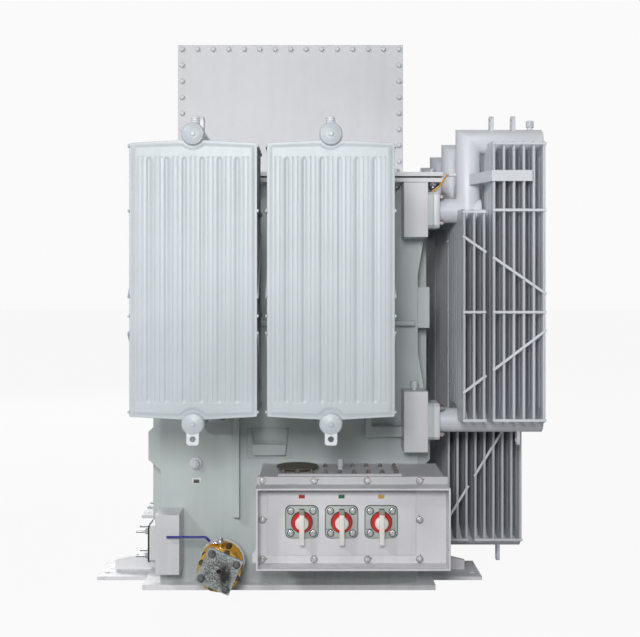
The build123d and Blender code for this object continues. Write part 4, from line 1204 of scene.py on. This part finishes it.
def oily_plate(name):
    """Cast plate under old paint: bare specks, ground-in dirt and a black run of oil beside its hole."""
    material, place = material_start(name)
    specks = noise(place, 150.0, 6.0)
    patch = noise(place, 30.0, 4.0)
    across = place.node("ShaderNodeSeparateXYZ", sockets={"Vector": place}, out="X") - drain_x
    upright = place.node("ShaderNodeSeparateXYZ", sockets={"Vector": place}, out="Z") - drain_z
    beside = across - oil_offset_x
    below = upright - oil_offset_z
    run = beside * beside * oil_across_share + below * below * oil_down_share
    oil = (1.0 - run.between(oil_inner, oil_outer)) * patch.between(0.24, 0.5)
    ring = across * across + upright * upright
    dirt = (1.0 - ring.between(dirt_inner, dirt_outer)) * specks.between(0.36, 0.6)
    paint = patch.between(0.35, 0.65).blend(tone(146, 158, 157), tone(178, 187, 188))
    grimy = dirt.blend(paint, tone(82, 79, 72))
    surface(
        place,
        base_color=oil.blend(grimy, tone(34, 32, 29)),
        roughness=0.62 - oil * 0.3 + dirt * 0.15,
        normal=rounded(place, soft_edge / 2, specks, peel_depth * 2),
    )
    return material


blank_material = oily_plate("oily_plate")
dress(blank_material, "drain_blank")
hole_radius = 0.011
boss_radius = 0.02
boss_rise = 0.004
boss_profile = [
    (hole_radius, -boss_rise),
    (hole_radius, boss_rise),
    (boss_radius - boss_rise / 2, boss_rise),
    (boss_radius, 0.0),
    (boss_radius, -boss_rise),
    (hole_radius, -boss_rise),
]
boss_place = facing((drain_x, blank_low.y, drain_z), forward)
set_piece("drain_boss", turned(boss_profile), boss_place, blank_material, "worn_steel")
# The matt black disc at the bottom of the hole is painted shade, standing in for the dark inside of the hole.
painted_shade_black = matt_rubber("painted_shade_black", tone(14, 13, 12))
hole_shade_disc = bmesh.new()
bar(hole_shade_disc, facing((drain_x, blank_high.y, drain_z), forward), hole_radius, 0.0, boss_rise)
piece("drain_hole_painted_shade", hole_shade_disc, painted_shade_black, "gasket_rubber")

lever_low, lever_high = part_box("drain_lever")
sleeve_radius = 0.0058
sleeve_z = lever_high.z - sleeve_radius
sleeve_bends = ((0.076, 0.0), (0.068, 0.002), (0.062, 0.006))
sleeve_end_reach = 0.05
sleeve_end_rise = 0.0085
sleeve_points = [(lever_low.x, stem_y, sleeve_z)]
sleeve_points += [(drain_x - reach, stem_y, sleeve_z - drop) for reach, drop in sleeve_bends]
sleeve_points += [(drain_x - sleeve_end_reach, stem_y, lever_low.z + sleeve_end_rise)]
lever_blue = moulded("lever_blue", tone(24, 30, 132), 0.3)
sleeve = bmesh.new()
pipe(sleeve, sleeve_points, sleeve_radius, 24)
piece("drain_lever_sleeve", sleeve, lever_blue, "lever_blue", body="drain_lever", replaced=("drain_lever",))

strip_half = 0.012
strip_depth = 0.005
strip_soft = 0.001
strip_length = 0.052
lever_iron = bmesh.new()
strip_mesh = flat_plate(strip_length / 2, strip_half, strip_depth, strip_soft, strip_soft, 2)
add_copy(lever_iron, strip_mesh, Matrix.Translation((drain_x - strip_length / 2, stem_y, lever_low.z)))
hub_radius = 0.02
hub_height = 0.011
bar(lever_iron, facing((drain_x, stem_y, lever_low.z), up), hub_radius, 0.0, hub_height, 32)
lever_nut_turn = 0.3
lever_nut_size = 0.0145
lever_thread = 0.004
nut_place = facing((drain_x, stem_y, lever_low.z + hub_height), up, lever_nut_turn)
bolt_head(lever_iron, nut_place, lever_nut_size, lever_thread)
piece("drain_lever_iron", lever_iron, chrome, "worn_steel", body="drain_lever")


# Bonding lead and small plates
# A yellow-sheathed lead bonds the first side flange to a boss welded on its riser.
# A small bare plate is fixed to the front wall below its plug.
lead_yellow = moulded("lead_yellow", tone(222, 160, 36), 0.5)
lead_radius = 0.0042
lead_points = [
    (0.672, -1.147, 1.896),
    (0.69, -1.15, 1.904),
    (0.706, -1.147, 1.916),
    (0.748, -1.1, 1.976),
    (0.757, -1.09, 1.978),
]
lead = bmesh.new()
pipe(lead, lead_points, lead_radius, 16)
piece("bonding_lead_run", lead, lead_yellow, "lead_yellow", replaced=("bonding_lead",))
boss_length = 0.044
boss_size = 0.0095
riser_boss = bmesh.new()
boss_start = (side_riser_x - side_pipe_radius, side_ys[0], lead_points[-1][2])
bar(riser_boss, facing(boss_start, leftward), boss_size, -boss_size, boss_length)
piece("bonding_boss", riser_boss, lit_side_paint, "panel_paint")
wall_half_x = 0.021
wall_half_z = 0.0155
wall_rise = 0.0015
wall_plate_middle = (-0.446, front_wall_y, 0.511)
wall_plate_place = facing(wall_plate_middle, forward)
wall_mesh = flat_plate(wall_half_x, wall_half_z, wall_rise, wall_rise, wall_rise / 3, 1)
set_piece("wall_plate", wall_mesh, wall_plate_place, plate_white, "name_plate")
field_place = wall_plate_place @ Matrix.Translation((0.0, 0.0, wall_rise))
field_dark = moulded("field_dark", tone(70, 74, 74), 0.45)
set_piece("wall_plate_field", field_mesh, field_place, field_dark, "name_plate")


# Floor, light and camera
# A plain pale floor under a white surround, with a lamp in front and a harder one high on the left.
# Two larger lamps light the right side and the rear.
background = 0.955
ambient = 0.12
white = (1.0, 1.0, 1.0, 1.0)
floor_grey = (0.55, 0.55, 0.55, 1.0)
floor_glow_share = 0.93
floor_half = 60.0
floor_paint, floor_place = material_start("floor")
seen = floor_place.node("ShaderNodeLightPath", out="Is Camera Ray")
matt = floor_place.node("ShaderNodeBsdfDiffuse", sockets={"Color": floor_grey})
glow = floor_place.node("ShaderNodeEmission", sockets={"Color": white})
floor_mix = floor_place.node("ShaderNodeMixShader", sockets={0: seen * floor_glow_share, 1: matt, 2: glow})
floor_place.node("ShaderNodeOutputMaterial", sockets={"Surface": floor_mix})
floor_shape = bmesh.new()
bmesh.ops.create_grid(floor_shape, x_segments=1, y_segments=1, size=floor_half)
floor_mesh = bpy.data.meshes.new("floor")
floor_shape.to_mesh(floor_mesh)
floor_shape.free()
floor_mesh.materials.append(floor_paint)
floor = bpy.data.objects.new("floor", floor_mesh)
bpy.context.scene.collection.objects.link(floor)

world = bpy.data.worlds.new("surround")
bpy.context.scene.world = world
world.use_nodes = True
world.node_tree.nodes.clear()
sky = Field(world.node_tree)
ray = sky.node("ShaderNodeLightPath", out="Is Camera Ray")
glossy = sky.node("ShaderNodeLightPath", out="Is Glossy Ray")
through = sky.node("ShaderNodeLightPath", out="Is Transmission Ray")
shown = (ray + glossy + through).between(0.0, 1.0)
strength = shown * (background - ambient) + ambient
sky_light = sky.node("ShaderNodeBackground", sockets={"Color": white, "Strength": strength})
sky.node("ShaderNodeOutputWorld", sockets={"Surface": sky_light})

lamp_aim = Vector((0.1, 0.0, 1.1))
lamps = (
    ("front_lamp", (-0.4, -7.6, 2.7), 1.2, 236.0),
    ("key_lamp", (-4.6, -6.6, 5.4), 1.0, 150.0),
    ("right_lamp", (7.8, 1.0, 4.2), 2.0, 130.0),
    ("rear_lamp", (-3.0, 7.4, 4.6), 2.0, 300.0),
)
for name, spot, size, power in lamps:
    lamp = bpy.data.lights.new(name, "AREA")
    lamp.size = size
    lamp.energy = power
    stand = bpy.data.objects.new(name, lamp)
    stand.location = spot
    stand.rotation_euler = (lamp_aim - Vector(spot)).to_track_quat("-Z", "Y").to_euler()
    bpy.context.scene.collection.objects.link(stand)

eye_place = (0.101, -6.3, 1.456)
eye_lens = 61.875
eye_sensor = 36.0
eye_shift = (0.0156, -0.0523)
eye = bpy.data.cameras.new("eye")
eye.lens = eye_lens
eye.sensor_width = eye_sensor
eye.shift_x, eye.shift_y = eye_shift
stand = bpy.data.objects.new("eye", eye)
stand.location = eye_place
stand.rotation_euler = (math.pi / 2, 0.0, 0.0)
bpy.context.scene.collection.objects.link(stand)
bpy.context.scene.camera = stand
bpy.context.scene.view_settings.view_transform = "Standard"
